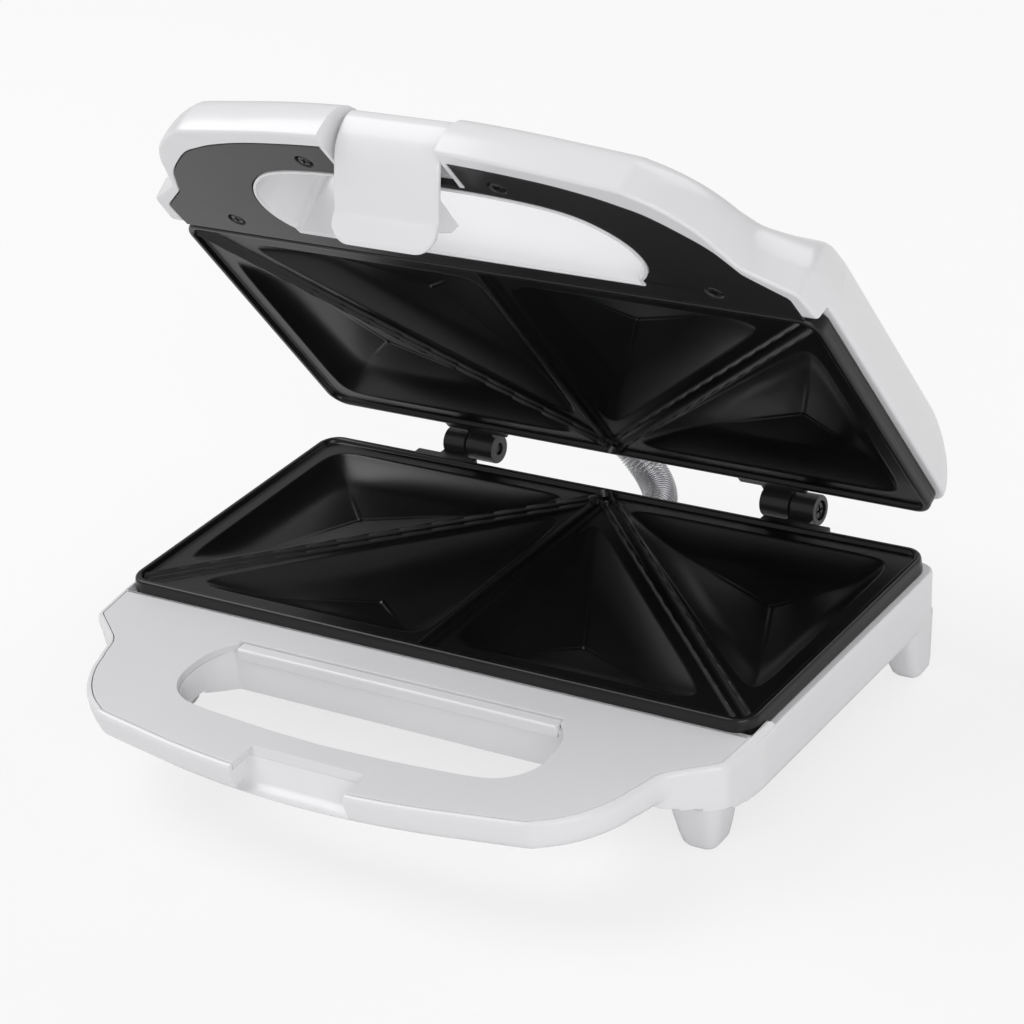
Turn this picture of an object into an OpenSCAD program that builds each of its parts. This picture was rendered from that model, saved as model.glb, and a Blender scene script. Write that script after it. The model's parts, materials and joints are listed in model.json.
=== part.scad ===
// Sandwich toaster with two hinged halves, each holding one heated plate.
// X runs left to right, -Y is the front with the handles, +Z is up and z = 0 is the table.
// Both halves are drawn closed around the parting plane, where the two plates' rims meet.
// The lid's pieces are then turned about the hinge pins to the angle that it stands open at.

/* [Plates] */
// Width of each heating plate, left to right
plate_w = 230; // [222:1:240]
// Depth of each heating plate, back to front
plate_d = 110; // [104:1:116]
// Height of the plate's wall that shows above the casing
plate_lip = 5.5; // [4.8:0.1:6.5]
// Depth of a sandwich pocket below the rim, at its apex
pocket_depth = 9.7; // [8:0.1:10.5]
// Gap between the two rims when the lid is shut
rim_gap = 0.4; // [0.3:0.05:0.8]
// Radius of the plate's corners
plate_corner_r = 7; // [5:0.5:9]

/* [Casing] */
// Height of the parting plane above the table
base_h = 41; // [39:0.5:45]
// Height of the base's tray below the parting plane
tray_h = 24; // [23:0.5:26]
// Height of the lid's crown above the parting plane
lid_h = 40; // [36:0.5:44]
// Thickness of the moulded walls
wall = 2.2; // [1.8:0.1:2.6]
// Width of the ledge of casing round the plate
ledge_w = 2.5; // [2:0.1:3.5]

/* [Handles] */
// How far the handle reaches forward of the plate
handle_reach = 69; // [66:0.5:74]
// Thickness of the base's handle
base_handle_t = 10.6; // [10:0.1:12]
// Slope of the base's handle, down to the front
base_droop = 3; // [2:0.1:4]
// Slope of the lid's handle, down to the front
lid_droop = 2; // [1:0.1:3]
// Level of the base's deck below the parting plane
deck_drop = 4.1; // [3.8:0.1:5]
// Thickness of the covers that close the two handles
cover_t = 2.2; // [1.8:0.1:2.6]
// Width of the casing's edge round a cover
cover_inset = 1.7; // [1.5:0.1:2]
// Half the width of the finger opening
opening_half_w = 65.5; // [60:0.5:68]
// Depth of each handle's front bar, in front of the finger opening
handle_bar_d = 20.6; // [19:0.2:24]

/* [Hinge] */
// Distance of the hinge axis behind the plates
hinge_back = 10.5; // [9.5:0.1:12]
// Radius of the hinge knuckles
knuckle_r = 5; // [4.5:0.1:5.5]
// Radius of the hinge pins
hinge_pin_r = 2; // [1.6:0.1:2.4]
// Radial running clearance of the lid's knuckles and the latch on their pins
running_clearance = 0.06; // [0.03:0.01:0.1]
// Angle that the lid stands open at
lid_open = 56.3; // [50:0.1:70]

/* [Latch] */
// Width of the latch
latch_w = 37; // [34:0.5:39]
// Width of the notch that the latch closes into
latch_notch_w = 41.5; // [41:0.1:44]
// Thickness of the latch's face
latch_t = 2; // [1.6:0.1:2.4]
// Angle that the hanging latch is swung inward from its closed position
latch_swing = 44; // [40:0.5:48]

/* [Conduit spring] */
// Outer diameter of the spring round the wires between the halves
spring_d = 11.7; // [10.5:0.1:12.5]
// Diameter of the spring's wire
spring_wire_d = 0.8; // [0.7:0.05:0.9]
// Number of turns in the spring
spring_turns = 28; // [24:1:29]

/* [Hidden] */
$fn = 48;
fine = 0.01;
through = 60;

// Where the plates' back edge lies: the origin is under the middle of the open toaster
plate_back_y = 70.354;
hinge_y = plate_back_y + hinge_back;

// Casing outline, as half widths and depths from the plates' back edge
body_half_w = plate_w / 2 + ledge_w;
body_rear_y = 1.5;
side_end_y = -(plate_d - 3.5);
shoulder = [body_half_w - 1.9, -(plate_d + 15)];
concave_corner = [plate_w / 2 - 14, -(plate_d + 25.5)];
handle_corner_r = 37;
handle_corner = [plate_w / 2 - 52.5, -(plate_d + handle_reach - 43)];
front_arc_r = 313;
front_arc_end = 78.4;
shoulder_bottom = 17.8;
draft = 2;

// Finger opening
opening_rear_y = -(plate_d + 11);
opening_front_y = -(plate_d + handle_reach - handle_bar_d);
opening_corner_r = 16.5;
opening_collar = 1.8;

// Plate below its rim
plate_skin = 2.3;
plate_inset = 4;
plate_under = pocket_depth + plate_skin;
rim_w = 3.2;

// Sandwich pocket: its upright edge, then the level and inset where its floor starts to fall
pocket_edge = 1.2;
pocket_corner_r = 2;
pocket_slope_share = 0.6;
pocket_slope_in = 6;
pocket_slope_r = 1.5;
pocket_tip_r = 1;

// Deepest points of an outer and an inner pocket, from the middle of the plate's back edge
outer_apex = [0.68 * plate_w / 2, -0.315 * plate_d];
inner_apex = [0.33 * plate_w / 2, -0.707 * plate_d];

// Bosses and screws under the plate
boss_x = plate_w / 2 - 15;
boss_y = [-18, -(plate_d - 18)];
boss_r = 4;
boss_len = 6.4;
screw_r = 1.5;
screw_head_r = 3;
screw_head_t = 1.6;
lid_plate_screw_len = 5;
cross_w = 0.7;

// Heating element, a bent tube pressed against the underside of the plate
element_r = 3.2;
element_bend_in = 28;
element_left_in = 60;
element_right_in = 55;
element_bend_r = plate_d / 2 - element_bend_in;
element_left = -(plate_w / 2 - element_left_in);
element_right = plate_w / 2 - element_right_in;
element_pin_r = 1.2;
element_pin_len = 9;
reflector_t = 0.8;
reflector_size = [plate_w - 18, plate_d - 22];

// Window in the reflector for the wiring: left, right and depth
wiring_window = [plate_w / 2 - 49, plate_w / 2 - 23, 30];

// Hinge stations: the lid's knuckle lies inside the base's
knuckle_in = 51.5;
knuckle_split = 62;
knuckle_gap = 0.6;
knuckle_out = 71.2;
hinge_leaf_t = 2.4;

// Latch geometry, about its pivot in the closed lid
latch_pivot_in = 10.5;
latch_pivot = [-(plate_d + handle_reach - latch_pivot_in), 9.5];
latch_pin_r = 1.5;
latch_recess_w = latch_w + 4.4;

// ---------- helpers ----------

function arc_points(centre, r, start, end, steps) =
  [for (i = [0:steps]) let (a = start + (end - start) * i / steps)
    [centre[0] + r * cos(a), centre[1] + r * sin(a)]];

function mirrored(points) =
  concat(points, [for (i = [len(points) - 1:-1:0]) [-points[i][0], points[i][1]]]);

// Half of the casing's outline, drawn in by d
function casing_half(d) = concat(
  [[body_half_w - d, body_rear_y - d],
   [body_half_w - d, side_end_y],
   [shoulder[0] - d, shoulder[1] + d / 3],
   [concave_corner[0] - d, concave_corner[1]]],
  handle_end(d));

// The handle's rounded end and half of its shallow front curve
function handle_end(d) = concat(
  arc_points(handle_corner, handle_corner_r - d, 0, -front_arc_end, 12),
  [for (i = [6:-1:0]) let (x = (handle_corner[0] + handle_corner_r * cos(front_arc_end)) * i / 7)
    [x, front_y(x) + d]]);

function front_y(x) = -(plate_d + handle_reach) + arc_rise(x);

function arc_rise(x) = front_arc_r - sqrt(pow(front_arc_r, 2) - x * x);

// Half of the finger opening's outline, grown by d
function opening_half(d) = concat(
  [[opening_half_w - 3.5 + d, opening_rear_y + d]],
  arc_points([opening_half_w - opening_corner_r, opening_front_y + 20.4], opening_corner_r + d,
    20, -front_arc_end, 10),
  [for (i = [4:-1:0]) let (x = (opening_half_w - opening_corner_r) * i / 5)
    [x, opening_front_y + arc_rise(x) - d]]);

module casing_outline(d) polygon(mirrored(casing_half(d)));

module opening_outline(d) polygon(mirrored(opening_half(d)));

// The handle alone, forward of the plate
module handle_outline(d) intersection() {
  casing_outline(d);
  translate([-body_half_w, -(plate_d + handle_reach + 1)]) square([2 * body_half_w, handle_reach + 1 - d]);
}

// The tray round the plate, without the handle
module tray_outline(d) polygon(mirrored([
  [body_half_w - d, body_rear_y - d],
  [body_half_w - d, side_end_y],
  [shoulder[0] - d, shoulder[1] + d / 3],
  [concave_corner[0] - d, concave_corner[1] + d]]));

module slice(z, t = fine) translate([0, 0, z]) linear_extrude(t) children();

module rounded_rect(w, d, r) hull()
  for (x = [-1, 1], y = [-1, 1]) translate([x * (w / 2 - r), y * (d / 2 - r)]) circle(r, $fn = 32);

// Puts children, drawn about the parting plane, into the object's frame
module in_base() translate([0, plate_back_y, base_h]) children();

// The same for the lid, turned open about the hinge axis
module in_lid() translate([0, hinge_y, base_h]) rotate([-lid_open, 0, 0])
  translate([0, plate_back_y - hinge_y, 0]) children();

// The base's pieces upside down serve the lid: z runs up from its rim
module flip_to_lid() translate([0, 0, rim_gap]) mirror([0, 0, 1]) children();

// Tilts children about the plate's front edge
module droop(level, angle) translate([0, -plate_d, level]) rotate([angle, 0, 0])
  translate([0, plate_d, 0]) children();

module base_droop() droop(-deck_drop, base_droop) children();

module lid_droop() droop(rim_gap, lid_droop) children();

module at_corners() for (x = [-1, 1], y = boss_y) translate([x * boss_x, y, 0]) children();

// Pan-head screw with a cross recess, head up at z = 0, shank going down
module cross_screw(shank_r, head_r, head_t, len) difference() {
  union() {
    translate([0, 0, -head_t]) cylinder(head_t, r = head_r);
    translate([0, 0, -head_t - len]) cylinder(len + fine, r = shank_r);
  }
  for (a = [0, 90]) rotate(a) translate([-head_r * 0.6, -cross_w / 2, -head_t * 0.6])
    cube([head_r * 1.2, cross_w, head_t]);
}

// ---------- plates ----------

// One triangular sandwich pocket; its floor falls in three facets to the apex
module pocket(corners, apex) hull() {
  slice(-pocket_edge, pocket_edge + 1)
    offset(pocket_corner_r, $fn = 16) offset(-pocket_edge - pocket_corner_r) polygon(corners);
  slice(-pocket_depth * pocket_slope_share)
    offset(pocket_slope_r, $fn = 16) offset(-pocket_slope_in - pocket_slope_r) polygon(corners);
  translate([apex[0], apex[1], -pocket_depth]) cylinder(fine, r = pocket_tip_r, $fn = 12);
}

module plate_body(leaf) {
  back = [0, -rim_w / 2];
  outer_back = [plate_w / 2 - rim_w, -rim_w];
  outer_front = [plate_w / 2 - rim_w, -plate_d + rim_w];
  middle_front = [0, -plate_d + rim_w];
  difference() {
    union() {
      slice(-plate_lip, plate_lip) translate([0, -plate_d / 2])
        rounded_rect(plate_w, plate_d, plate_corner_r);
      slice(-plate_under, plate_under - 1) translate([0, -plate_d / 2])
        rounded_rect(plate_w - 2 * plate_inset, plate_d - 2 * plate_inset, plate_corner_r);
      at_corners() translate([0, 0, -plate_under - boss_len]) cylinder(boss_len + 1, r = boss_r);
    }
    for (side = [0, 1]) mirror([side, 0, 0]) {
      pocket([back, outer_back, outer_front], outer_apex);
      pocket([back, outer_front, middle_front], inner_apex);
    }
    at_corners() translate([0, 0, -plate_under - boss_len - fine]) cylinder(boss_len + 1, r = screw_r);
    at_hinges() hinge_screw_places(leaf) translate([0, 0, hinge_leaf_t - leaf_screw_len])
      cylinder(leaf_screw_len, r = leaf_screw_r);
  }
}

// Sheathed heating tube, bent to a U, with a pin at each end
module heating_tube() {
  z = -plate_under - element_r;
  translate([element_left, -plate_d / 2, z]) rotate(90) rotate_extrude(angle = 180)
    translate([element_bend_r, 0]) circle(element_r);
  for (y = [-1, 1]) translate([element_left, -plate_d / 2 + y * element_bend_r, z]) rotate([0, 90, 0]) {
    cylinder(element_right - element_left, r = element_r);
    translate([0, 0, element_right - element_left - fine]) cylinder(element_pin_len, r = element_pin_r);
  }
}

reflector_top = -plate_under - 2 * element_r;

// Sheet of aluminium that keeps the heat off the casing, with a window for the wiring
module heat_reflector() {
  difference() {
    translate([-reflector_size[0] / 2, -plate_d / 2 - reflector_size[1] / 2, reflector_top - reflector_t])
      cube([reflector_size[0], reflector_size[1], reflector_t]);
    translate([wiring_window[0], -plate_d / 2 - wiring_window[2] / 2, reflector_top - 2])
      cube([wiring_window[1] - wiring_window[0], wiring_window[2], 4]);
    at_corners() translate([0, 0, reflector_top - 2]) cylinder(4, r = screw_r);
  }
}

plate_window_clearance = 0.3;
plate_fit = 0.2;

module plate_window(z, h) translate([0, 0, z]) linear_extrude(h) translate([0, -plate_d / 2])
  square([plate_w, plate_d] - 2 * (plate_inset - plate_window_clearance) * [1, 1], center = true);

// Where the plate's rim stands in a casing
module plate_recess(z, h) translate([0, 0, z]) linear_extrude(h) translate([0, -plate_d / 2])
  square([plate_w, plate_d] + 2 * plate_fit * [1, 1], center = true);

// ---------- base ----------

tray_floor = -tray_h + wall;
post_top = reflector_top - reflector_t;

module tray_hull(d) hull() {
  slice(-plate_lip - fine - d) tray_outline(d);
  slice(-shoulder_bottom + d) tray_outline(d + draft / 2);
  slice(-tray_h + d) translate([0, body_rear_y - draft - d]) mirror([0, 1])
    translate([-body_half_w + draft + d, 0]) square([2 * (body_half_w - draft - d), plate_d - draft - 2 * d]);
}

module base_feet() {
  for (x = [-1, 1]) {
    hull() {
      translate([x * (body_half_w - 8.3), body_rear_y - 8.3, -tray_h - 2]) cylinder(4, r = 6.3, $fn = 32);
      translate([x * (body_half_w - 8.6), body_rear_y - 7.4, -base_h]) cylinder(fine, r = 4.8, $fn = 32);
    }
    translate([x * (plate_w / 2 - 15.5), -plate_d - 3.5, -base_h])
      cylinder(base_h - tray_h + 4, r1 = 6.2, r2 = 8.8);
  }
}

// Seat for the latch in the front of the base's handle: a slope down to a narrow lip
// Distances behind the handle's front, and depths below the deck
notch_start_in = 12.6;
notch_slope_end = [6.5, 7];
notch_lip = [4.5, 8.4];
notch_front_depth = 8.6;
module latch_notch() translate([-latch_notch_w / 2, 0, 0]) rotate([90, 0, 90])
  linear_extrude(latch_notch_w) polygon([
    [-plate_d - handle_reach + notch_start_in, 1],
    [-plate_d - handle_reach + notch_start_in, 0],
    [-plate_d - handle_reach + notch_slope_end[0], -notch_slope_end[1]],
    [-plate_d - handle_reach + notch_lip[0], -notch_lip[1]],
    [-plate_d - handle_reach - 2, -notch_front_depth],
    [-plate_d - handle_reach - 2, 1]]);

// Chamfer on the opening's front edge, where the hanging latch comes closest
latch_relief_w = latch_w + 3;
latch_relief_depth = 2.4;
module latch_relief() translate([-latch_relief_w / 2, opening_front_y + arc_rise(latch_relief_w / 2), 0])
  rotate([-45, 0, 0]) translate([0, -through / 2, -latch_relief_depth * sqrt(0.5)])
    cube([latch_relief_w, through, through / 2]);

// Blind at the top, so that nothing shows on the cover
module base_cover_screw_holes() at_cover_screws(base_cover_screws_at) translate([0, 0, -base_handle_t - 1]) {
  cylinder(1 + cover_screw_reach, r = cover_screw_r);
  cylinder(1 + handle_screw_sunk + handle_screw_head_t, r = handle_screw_head_r);
}

module handle_slab(bottom, top, d) slice(bottom, top - bottom) handle_outline(d);

module base_cavity() {
  // Room for the plate and what hangs below it
  plate_window(-plate_lip - wall - 1, through);
  intersection() {
    tray_hull(wall);
    translate([-plate_w, -plate_d + 2, -through]) cube([2 * plate_w, 2 * plate_d, through]);
  }
  // Hollow of the handle and of the shoulders beside it
  difference() {
    union() {
      base_droop() handle_slab(-base_handle_t + wall, 1, 2 * cover_inset);
      intersection() {
        tray_hull(wall);
        translate([-plate_w, -plate_d - through - wall, -through]) cube([2 * plate_w, through, through]);
      }
    }
    base_droop() {
      slice(-through, 2 * through) opening_outline(opening_collar);
      translate([-latch_notch_w / 2 - wall, -plate_d - handle_reach, -through])
        cube([latch_notch_w + 2 * wall, plate_d + handle_reach + opening_front_y + 3, 2 * through]);
      at_cover_screws(base_cover_screws_at) cylinder(2 * through, r = cover_boss_r, center = true);
    }
  }
}

module base_shell() {
  color("white") in_base() {
    difference() {
      union() {
        tray_hull(0);
        base_droop() handle_slab(-base_handle_t, 0, 0);
        base_feet();
      }
      base_cavity();
      base_droop() {
        slice(-through, 2 * through) opening_outline(0);
        handle_slab(-cover_t, 1, cover_inset);
        latch_notch();
        latch_relief();
        base_cover_screw_holes();
      }
      rear_hole(base_conduit_x, -conduit_drop, grommet_neck_r);
      rear_hole(cord_inlet_x, -conduit_drop, bush_neck_r);
      base_screw_wells();
      plate_recess(-plate_lip, through);
    }
    difference() {
      at_corners() translate([0, 0, tray_floor - fine]) cylinder(post_top - tray_floor + fine, r = boss_r);
      base_screw_wells();
    }
  }
}

// Wells that the four long screws go up through
module base_screw_wells() at_corners() {
  translate([0, 0, -through]) cylinder(through, r = screw_r);
  translate([0, 0, -tray_h - 1]) cylinder(1 + screw_head_t, r = screw_head_r + 0.3);
}

rear_hole_len = 14;
module rear_hole(x, z, r) translate([x, body_rear_y + 3, z]) rotate([90, 0, 0])
  cylinder(rear_hole_len, r = r);

module base_handle_cover() {
  color("white") in_base() base_droop() difference() {
    handle_slab(-cover_t, 0, cover_inset + 0.1);
    slice(-through, 2 * through) opening_outline(0);
    latch_notch();
    latch_relief();
    base_cover_screw_holes();
  }
}

module base_plate() { color([0.06, 0.06, 0.065]) in_base() plate_body(base_leaf); }

module base_heating_element() { color([0.45, 0.43, 0.42]) in_base() heating_tube(); }

module base_reflector() { color([0.8, 0.81, 0.83]) in_base() heat_reflector(); }

// Bimetal disc thermostat, clamped against the middle of the plate
thermostat_r = 7.5;
thermostat_t = 6;
module thermostat() {
  color([0.75, 0.7, 0.62]) in_base() translate([0, -plate_d / 2, -plate_under - thermostat_t])
    cylinder(thermostat_t, r = thermostat_r);
}

// Thermal fuse in its sleeve, strapped along the plate between the legs of the element
fuse_r = 2;
fuse_len = 24;
module thermal_fuse() {
  color([0.85, 0.83, 0.76]) in_base()
    translate([-element_right, -plate_d / 2, -plate_under - fuse_r]) rotate([0, 90, 0])
      cylinder(fuse_len, r = fuse_r);
}

block_size = [14, 24, 8];
module terminal_block() {
  color([0.85, 0.85, 0.8]) in_base()
    translate([(wiring_window[0] + wiring_window[1] - block_size[0]) / 2, -plate_d / 2 - block_size[1] / 2,
      tray_floor])
      difference() {
        cube(block_size);
        for (i = [0:2]) translate([-1, 4 + 8 * i, block_size[2] / 2]) rotate([0, 90, 0])
          cylinder(block_size[0] + 2, r = 1.6);
      }
}

module base_plate_screws() {
  color([0.55, 0.55, 0.57]) in_base() at_corners()
    translate([0, 0, -tray_h + 0.2]) mirror([0, 0, 1])
      cross_screw(screw_r, screw_head_r, screw_head_t - 0.2, tray_h - plate_under - screw_head_t - 2);
}

// Screws that hold the handles' covers, on either side
// Two screws at each cover's front and two at its sides: half spacing, and distance behind the handle's
// front. The lid's side screws are in its shoulders, so theirs is the distance forward of the plate
front_screw_at = [34, 16.6];
base_side_screw_at = [82, 29];
lid_shoulder_screw_at = [86, 8.9];
function behind_front(at) = [at[0], at[1] - plate_d - handle_reach];
base_cover_screws_at = [behind_front(front_screw_at), behind_front(base_side_screw_at)];
lid_cover_screws_at = [behind_front(front_screw_at),
  [lid_shoulder_screw_at[0], -plate_d - lid_shoulder_screw_at[1]]];
cover_screw_r = 1.2;
cover_boss_r = 3;
cover_screw_reach = base_handle_t - 1;

// ---------- conduit spring and cord inlet ----------

conduit_drop = 16;
base_conduit_x = 4.5;
lid_conduit_x = -15.5;
lid_conduit_z = 18;
grommet_neck_r = spring_d / 2 + 0.5;
grommet_flange_r = 7.5;
grommet_flange_t = 1.5;
grommet_bore_r = 4;
cord_inlet_x = plate_w / 2 - 30;
bush_neck_r = 5;
cord_bore_r = 3.4;

// Bush through a rear wall; its flange lies against the outside
module bush(neck_r, flange_r, bore_r) rotate([90, 0, 0]) difference() {
  union() {
    cylinder(5, r = neck_r);
    translate([0, 0, -grommet_flange_t]) cylinder(grommet_flange_t + fine, r = flange_r);
  }
  translate([0, 0, -through / 2]) cylinder(through, r = bore_r);
}

module cord_inlet_bush() {
  color([0.15, 0.15, 0.16]) in_base() translate([cord_inlet_x, body_rear_y, -conduit_drop])
    bush(bush_neck_r, grommet_flange_r, cord_bore_r);
}

module base_conduit_grommet() {
  color([0.15, 0.15, 0.16]) in_base() translate([base_conduit_x, body_rear_y, -conduit_drop])
    bush(grommet_neck_r, grommet_flange_r, grommet_bore_r);
}

module lid_conduit_grommet() {
  color([0.15, 0.15, 0.16]) in_lid() translate([lid_conduit_x, body_rear_y, lid_conduit_z])
    bush(grommet_neck_r, grommet_flange_r, grommet_bore_r);
}

function bezier(p, t) = pow(1 - t, 3) * p[0] + 3 * t * pow(1 - t, 2) * p[1]
  + 3 * t * t * (1 - t) * p[2] + pow(t, 3) * p[3];

function bezier_slope(p, t) = 3 * (pow(1 - t, 2) * (p[1] - p[0]) + 2 * t * (1 - t) * (p[2] - p[1])
  + t * t * (p[3] - p[2]));

// From the lid's grommet, straight, round a bend and straight into the base's grommet
flange_y = body_rear_y + grommet_flange_t;
lid_out = [0, cos(lid_open), -sin(lid_open)];
lid_exit = [lid_conduit_x,
  hinge_y + (flange_y - hinge_back) * cos(lid_open) + lid_conduit_z * sin(lid_open),
  base_h - (flange_y - hinge_back) * sin(lid_open) + lid_conduit_z * cos(lid_open)];
base_entry = [base_conduit_x, plate_back_y + flange_y, base_h - conduit_drop];
bend_reach = 16;
bend = [lid_exit + spring_d * lid_out, lid_exit + (spring_d + bend_reach) * lid_out,
  base_entry + [0, spring_d + bend_reach, 0], base_entry + [0, spring_d, 0]];
bend_len = norm(bend[1] - bend[0]) + norm(bend[2] - bend[1]) * 0.93 + norm(bend[3] - bend[2]) * 0.93;
route_len = 2 * spring_d + bend_len;

function route(l) = l < spring_d ? lid_exit + l * lid_out
  : l > spring_d + bend_len ? base_entry + [0, route_len - l, 0]
  : bezier(bend, (l - spring_d) / bend_len);

function route_way(l) = l < spring_d ? lid_out
  : l > spring_d + bend_len ? [0, -1, 0]
  : unit(bezier_slope(bend, (l - spring_d) / bend_len));

function unit(v) = v / norm(v);

// The part of v that is square to way
function square_to(v, way) = unit(v - (v * way) * way);

spring_r = (spring_d - spring_wire_d) / 2;
rings_per_turn = 8;
wire_sides = 6;

function route_at(turn) = spring_wire_d / 2 + (route_len - spring_wire_d) * turn / spring_turns;

// Direction from the spring's axis out to the wire, turns in from the lid's end
function spoke(turn) = let (way = route_way(route_at(turn)), u = square_to([1, 0, 0], way))
  cos(360 * turn) * u + sin(360 * turn) * cross(way, u);

function wire_point(turn) = route(route_at(turn)) + spring_r * spoke(turn);

wire_turns = [for (i = [0:spring_turns * rings_per_turn]) i / rings_per_turn];
wire_points = [for (t = wire_turns) wire_point(t)];

// Least gap between neighbouring turns, over all the wire's points
turn_gaps = [for (i = [0:len(wire_points) - 1 - rings_per_turn])
  norm(wire_points[i + rings_per_turn] - wire_points[i]) - spring_wire_d];
echo(least_turn_gap = min(turn_gaps));

module conduit_spring() {
  last = len(wire_points) - 1;
  rings = [for (i = [0:last]) let (
      way = unit(wire_points[min(i + 1, last)] - wire_points[max(i - 1, 0)]),
      u = square_to(spoke(wire_turns[i]), way), v = cross(way, u))
    for (k = [0:wire_sides - 1]) let (a = 360 * k / wire_sides)
      wire_points[i] + spring_wire_d / 2 * (cos(a) * u + sin(a) * v)];
  sides = [for (i = [0:last - 1], k = [0:wire_sides - 1]) let (
      a = i * wire_sides + k, b = i * wire_sides + (k + 1) % wire_sides)
    each [[a, b + wire_sides, b], [a, a + wire_sides, b + wire_sides]]];
  tail = last * wire_sides;
  start_cap = [for (k = [1:wire_sides - 2]) [0, k, k + 1]];
  end_cap = [for (k = [1:wire_sides - 2]) [tail, tail + k + 1, tail + k]];
  color([0.62, 0.63, 0.65]) polyhedron(rings, concat(sides, start_cap, end_cap));
}

// ---------- hinge ----------

// Mirrors children to both hinges
module at_hinges() for (side = [0, 1]) mirror([side, 0, 0]) children();

leaf_screw_r = 1;
leaf_screw_inset = 3;
leaf_screw_head_r = 1.9;
leaf_screw_head_t = 1.2;
leaf_screw_len = 6;
base_leaf = [knuckle_in + 3.5, knuckle_out + 8];
lid_leaf = [knuckle_in - 7, knuckle_split + 7];
pin_head_t = 2;
pin_head_r = 3.2;
pin_head_sunk = 0.4;

module along_hinge(x, y = hinge_back, z = 0) translate([x, y, z]) rotate([0, 90, 0]) children();

module hinge_screw_places(leaf) for (x = [leaf[0] + leaf_screw_inset, leaf[1] - leaf_screw_inset])
  translate([x, 0, -plate_lip / 2 - 0.1]) rotate([-90, 0, 0]) children();

// A knuckle round the axis, at a height above the plate's rim, with a web and a leaf that is
// screwed to the plate's back edge
module hinge_bracket(x0, x1, leaf, bore_r, axis_z) difference() {
  union() {
    along_hinge(x0, z = axis_z) cylinder(x1 - x0, r = knuckle_r);
    translate([x0, 1, -plate_lip + 0.9]) cube([x1 - x0, hinge_back - 3, plate_lip - 1.9]);
    translate([leaf[0], 0, -plate_lip + 0.4]) cube([leaf[1] - leaf[0], hinge_leaf_t, plate_lip - 0.9]);
  }
  along_hinge(x0 - 1, z = axis_z) cylinder(x1 - x0 + 2, r = bore_r);
  hinge_screw_places(leaf) cylinder(through, r = leaf_screw_r, center = true);
}

module leaf_screws(leaf) at_hinges() hinge_screw_places(leaf)
  translate([0, 0, hinge_leaf_t + leaf_screw_head_t])
    cross_screw(leaf_screw_r, leaf_screw_head_r, leaf_screw_head_t, leaf_screw_len);

module base_hinge_brackets() {
  color([0.1, 0.1, 0.11]) in_base() at_hinges() difference() {
    hinge_bracket(knuckle_split + knuckle_gap, knuckle_out, base_leaf, hinge_pin_r, 0);
    along_hinge(knuckle_out - pin_head_t) cylinder(pin_head_t + 1, r = pin_head_r);
  }
}

module lid_hinge_brackets() {
  color([0.1, 0.1, 0.11]) in_lid() flip_to_lid() at_hinges()
    hinge_bracket(knuckle_in, knuckle_split, lid_leaf, hinge_pin_r + running_clearance, rim_gap);
}

module hinge_pins() {
  color([0.2, 0.2, 0.21]) in_base() at_hinges() along_hinge(knuckle_out - pin_head_sunk)
    cross_screw(hinge_pin_r, pin_head_r, pin_head_t - pin_head_sunk,
      knuckle_out - knuckle_in - pin_head_t - 1);
}

module base_hinge_screws() { color([0.2, 0.2, 0.21]) in_base() leaf_screws(base_leaf); }

module lid_hinge_screws() { color([0.2, 0.2, 0.21]) in_lid() flip_to_lid() leaf_screws(lid_leaf); }

// ---------- lid ----------

seat_z = plate_lip + rim_gap;
seat_t = 2;

// Levels of the lid's dome: height, half width, back edge, front edge
function dome_levels(d) = [
  [seat_z + (d > 0 ? seat_t : 0), body_half_w - d, body_rear_y - d, side_end_y],
  [lid_h * 0.45, body_half_w - 4 - d, body_rear_y - 1 - d, -(plate_d + 17) + d],
  [lid_h * 0.7, body_half_w - 9 - d, body_rear_y - 4 - d, -plate_d + d],
  [lid_h * 0.85, body_half_w - 16 - d, body_rear_y - 10 - d, -(plate_d - 20) + d],
  [lid_h * 0.95 - d / 2, body_half_w - 26 - d, body_rear_y - 20 - d, -(plate_d - 38) + d],
  [lid_h - fine - d, body_half_w - 40, body_rear_y - 34, -(plate_d - 54)]];

dome_corner_r = 8;
module dome(d) hull() {
  for (l = dome_levels(d), x = [-1, 1], y = [l[2] - dome_corner_r, l[3] + dome_corner_r])
    translate([x * (l[1] - dome_corner_r), y, l[0]]) cylinder(fine, r = dome_corner_r, $fn = 32);
  slice(seat_z + (d > 0 ? seat_t : 0)) tray_outline(d);
}

module front_half() translate([-plate_w, -plate_d - wall - 2 * through, -through])
  cube([2 * plate_w, 2 * through, 2 * through]);

module rear_half() translate([-plate_w, -plate_d + 2, -through])
  cube([2 * plate_w, 2 * plate_d, 2 * through]);

// The handle's rounded upper side, as a hull of levels above its cover: height and inset
handle_side = [8, 0.8];
handle_round = [14, 4];
handle_shelf = [17.5, 13];
handle_crest = [22, 14];
module lid_handle_body(d) hull() {
  slice(d > 0 ? -1 : 0) lid_handle_level(d);
  slice(handle_side[0]) lid_handle_level(handle_side[1] + d);
  slice(handle_round[0] - d) lid_handle_level(handle_round[1] + d);
  slice(handle_shelf[0] - d) lid_handle_level(handle_shelf[1]);
  slice(handle_crest[0] - d) translate([-concave_corner[0] + handle_crest[1], -plate_d - 20])
    square([2 * (concave_corner[0] - handle_crest[1]), 10]);
}

module lid_handle_level(d) polygon(mirrored(concat([[concave_corner[0] - d, -plate_d - 22]], handle_end(d))));

latch_wall = 2;
latch_recess_in = 16.5;
module latch_recess(d)
  translate([-latch_recess_w / 2 - d, -plate_d - handle_reach + latch_recess_in - through + d, -through / 2])
    cube([latch_recess_w + 2 * d, through, through * 1.5]);

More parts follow.
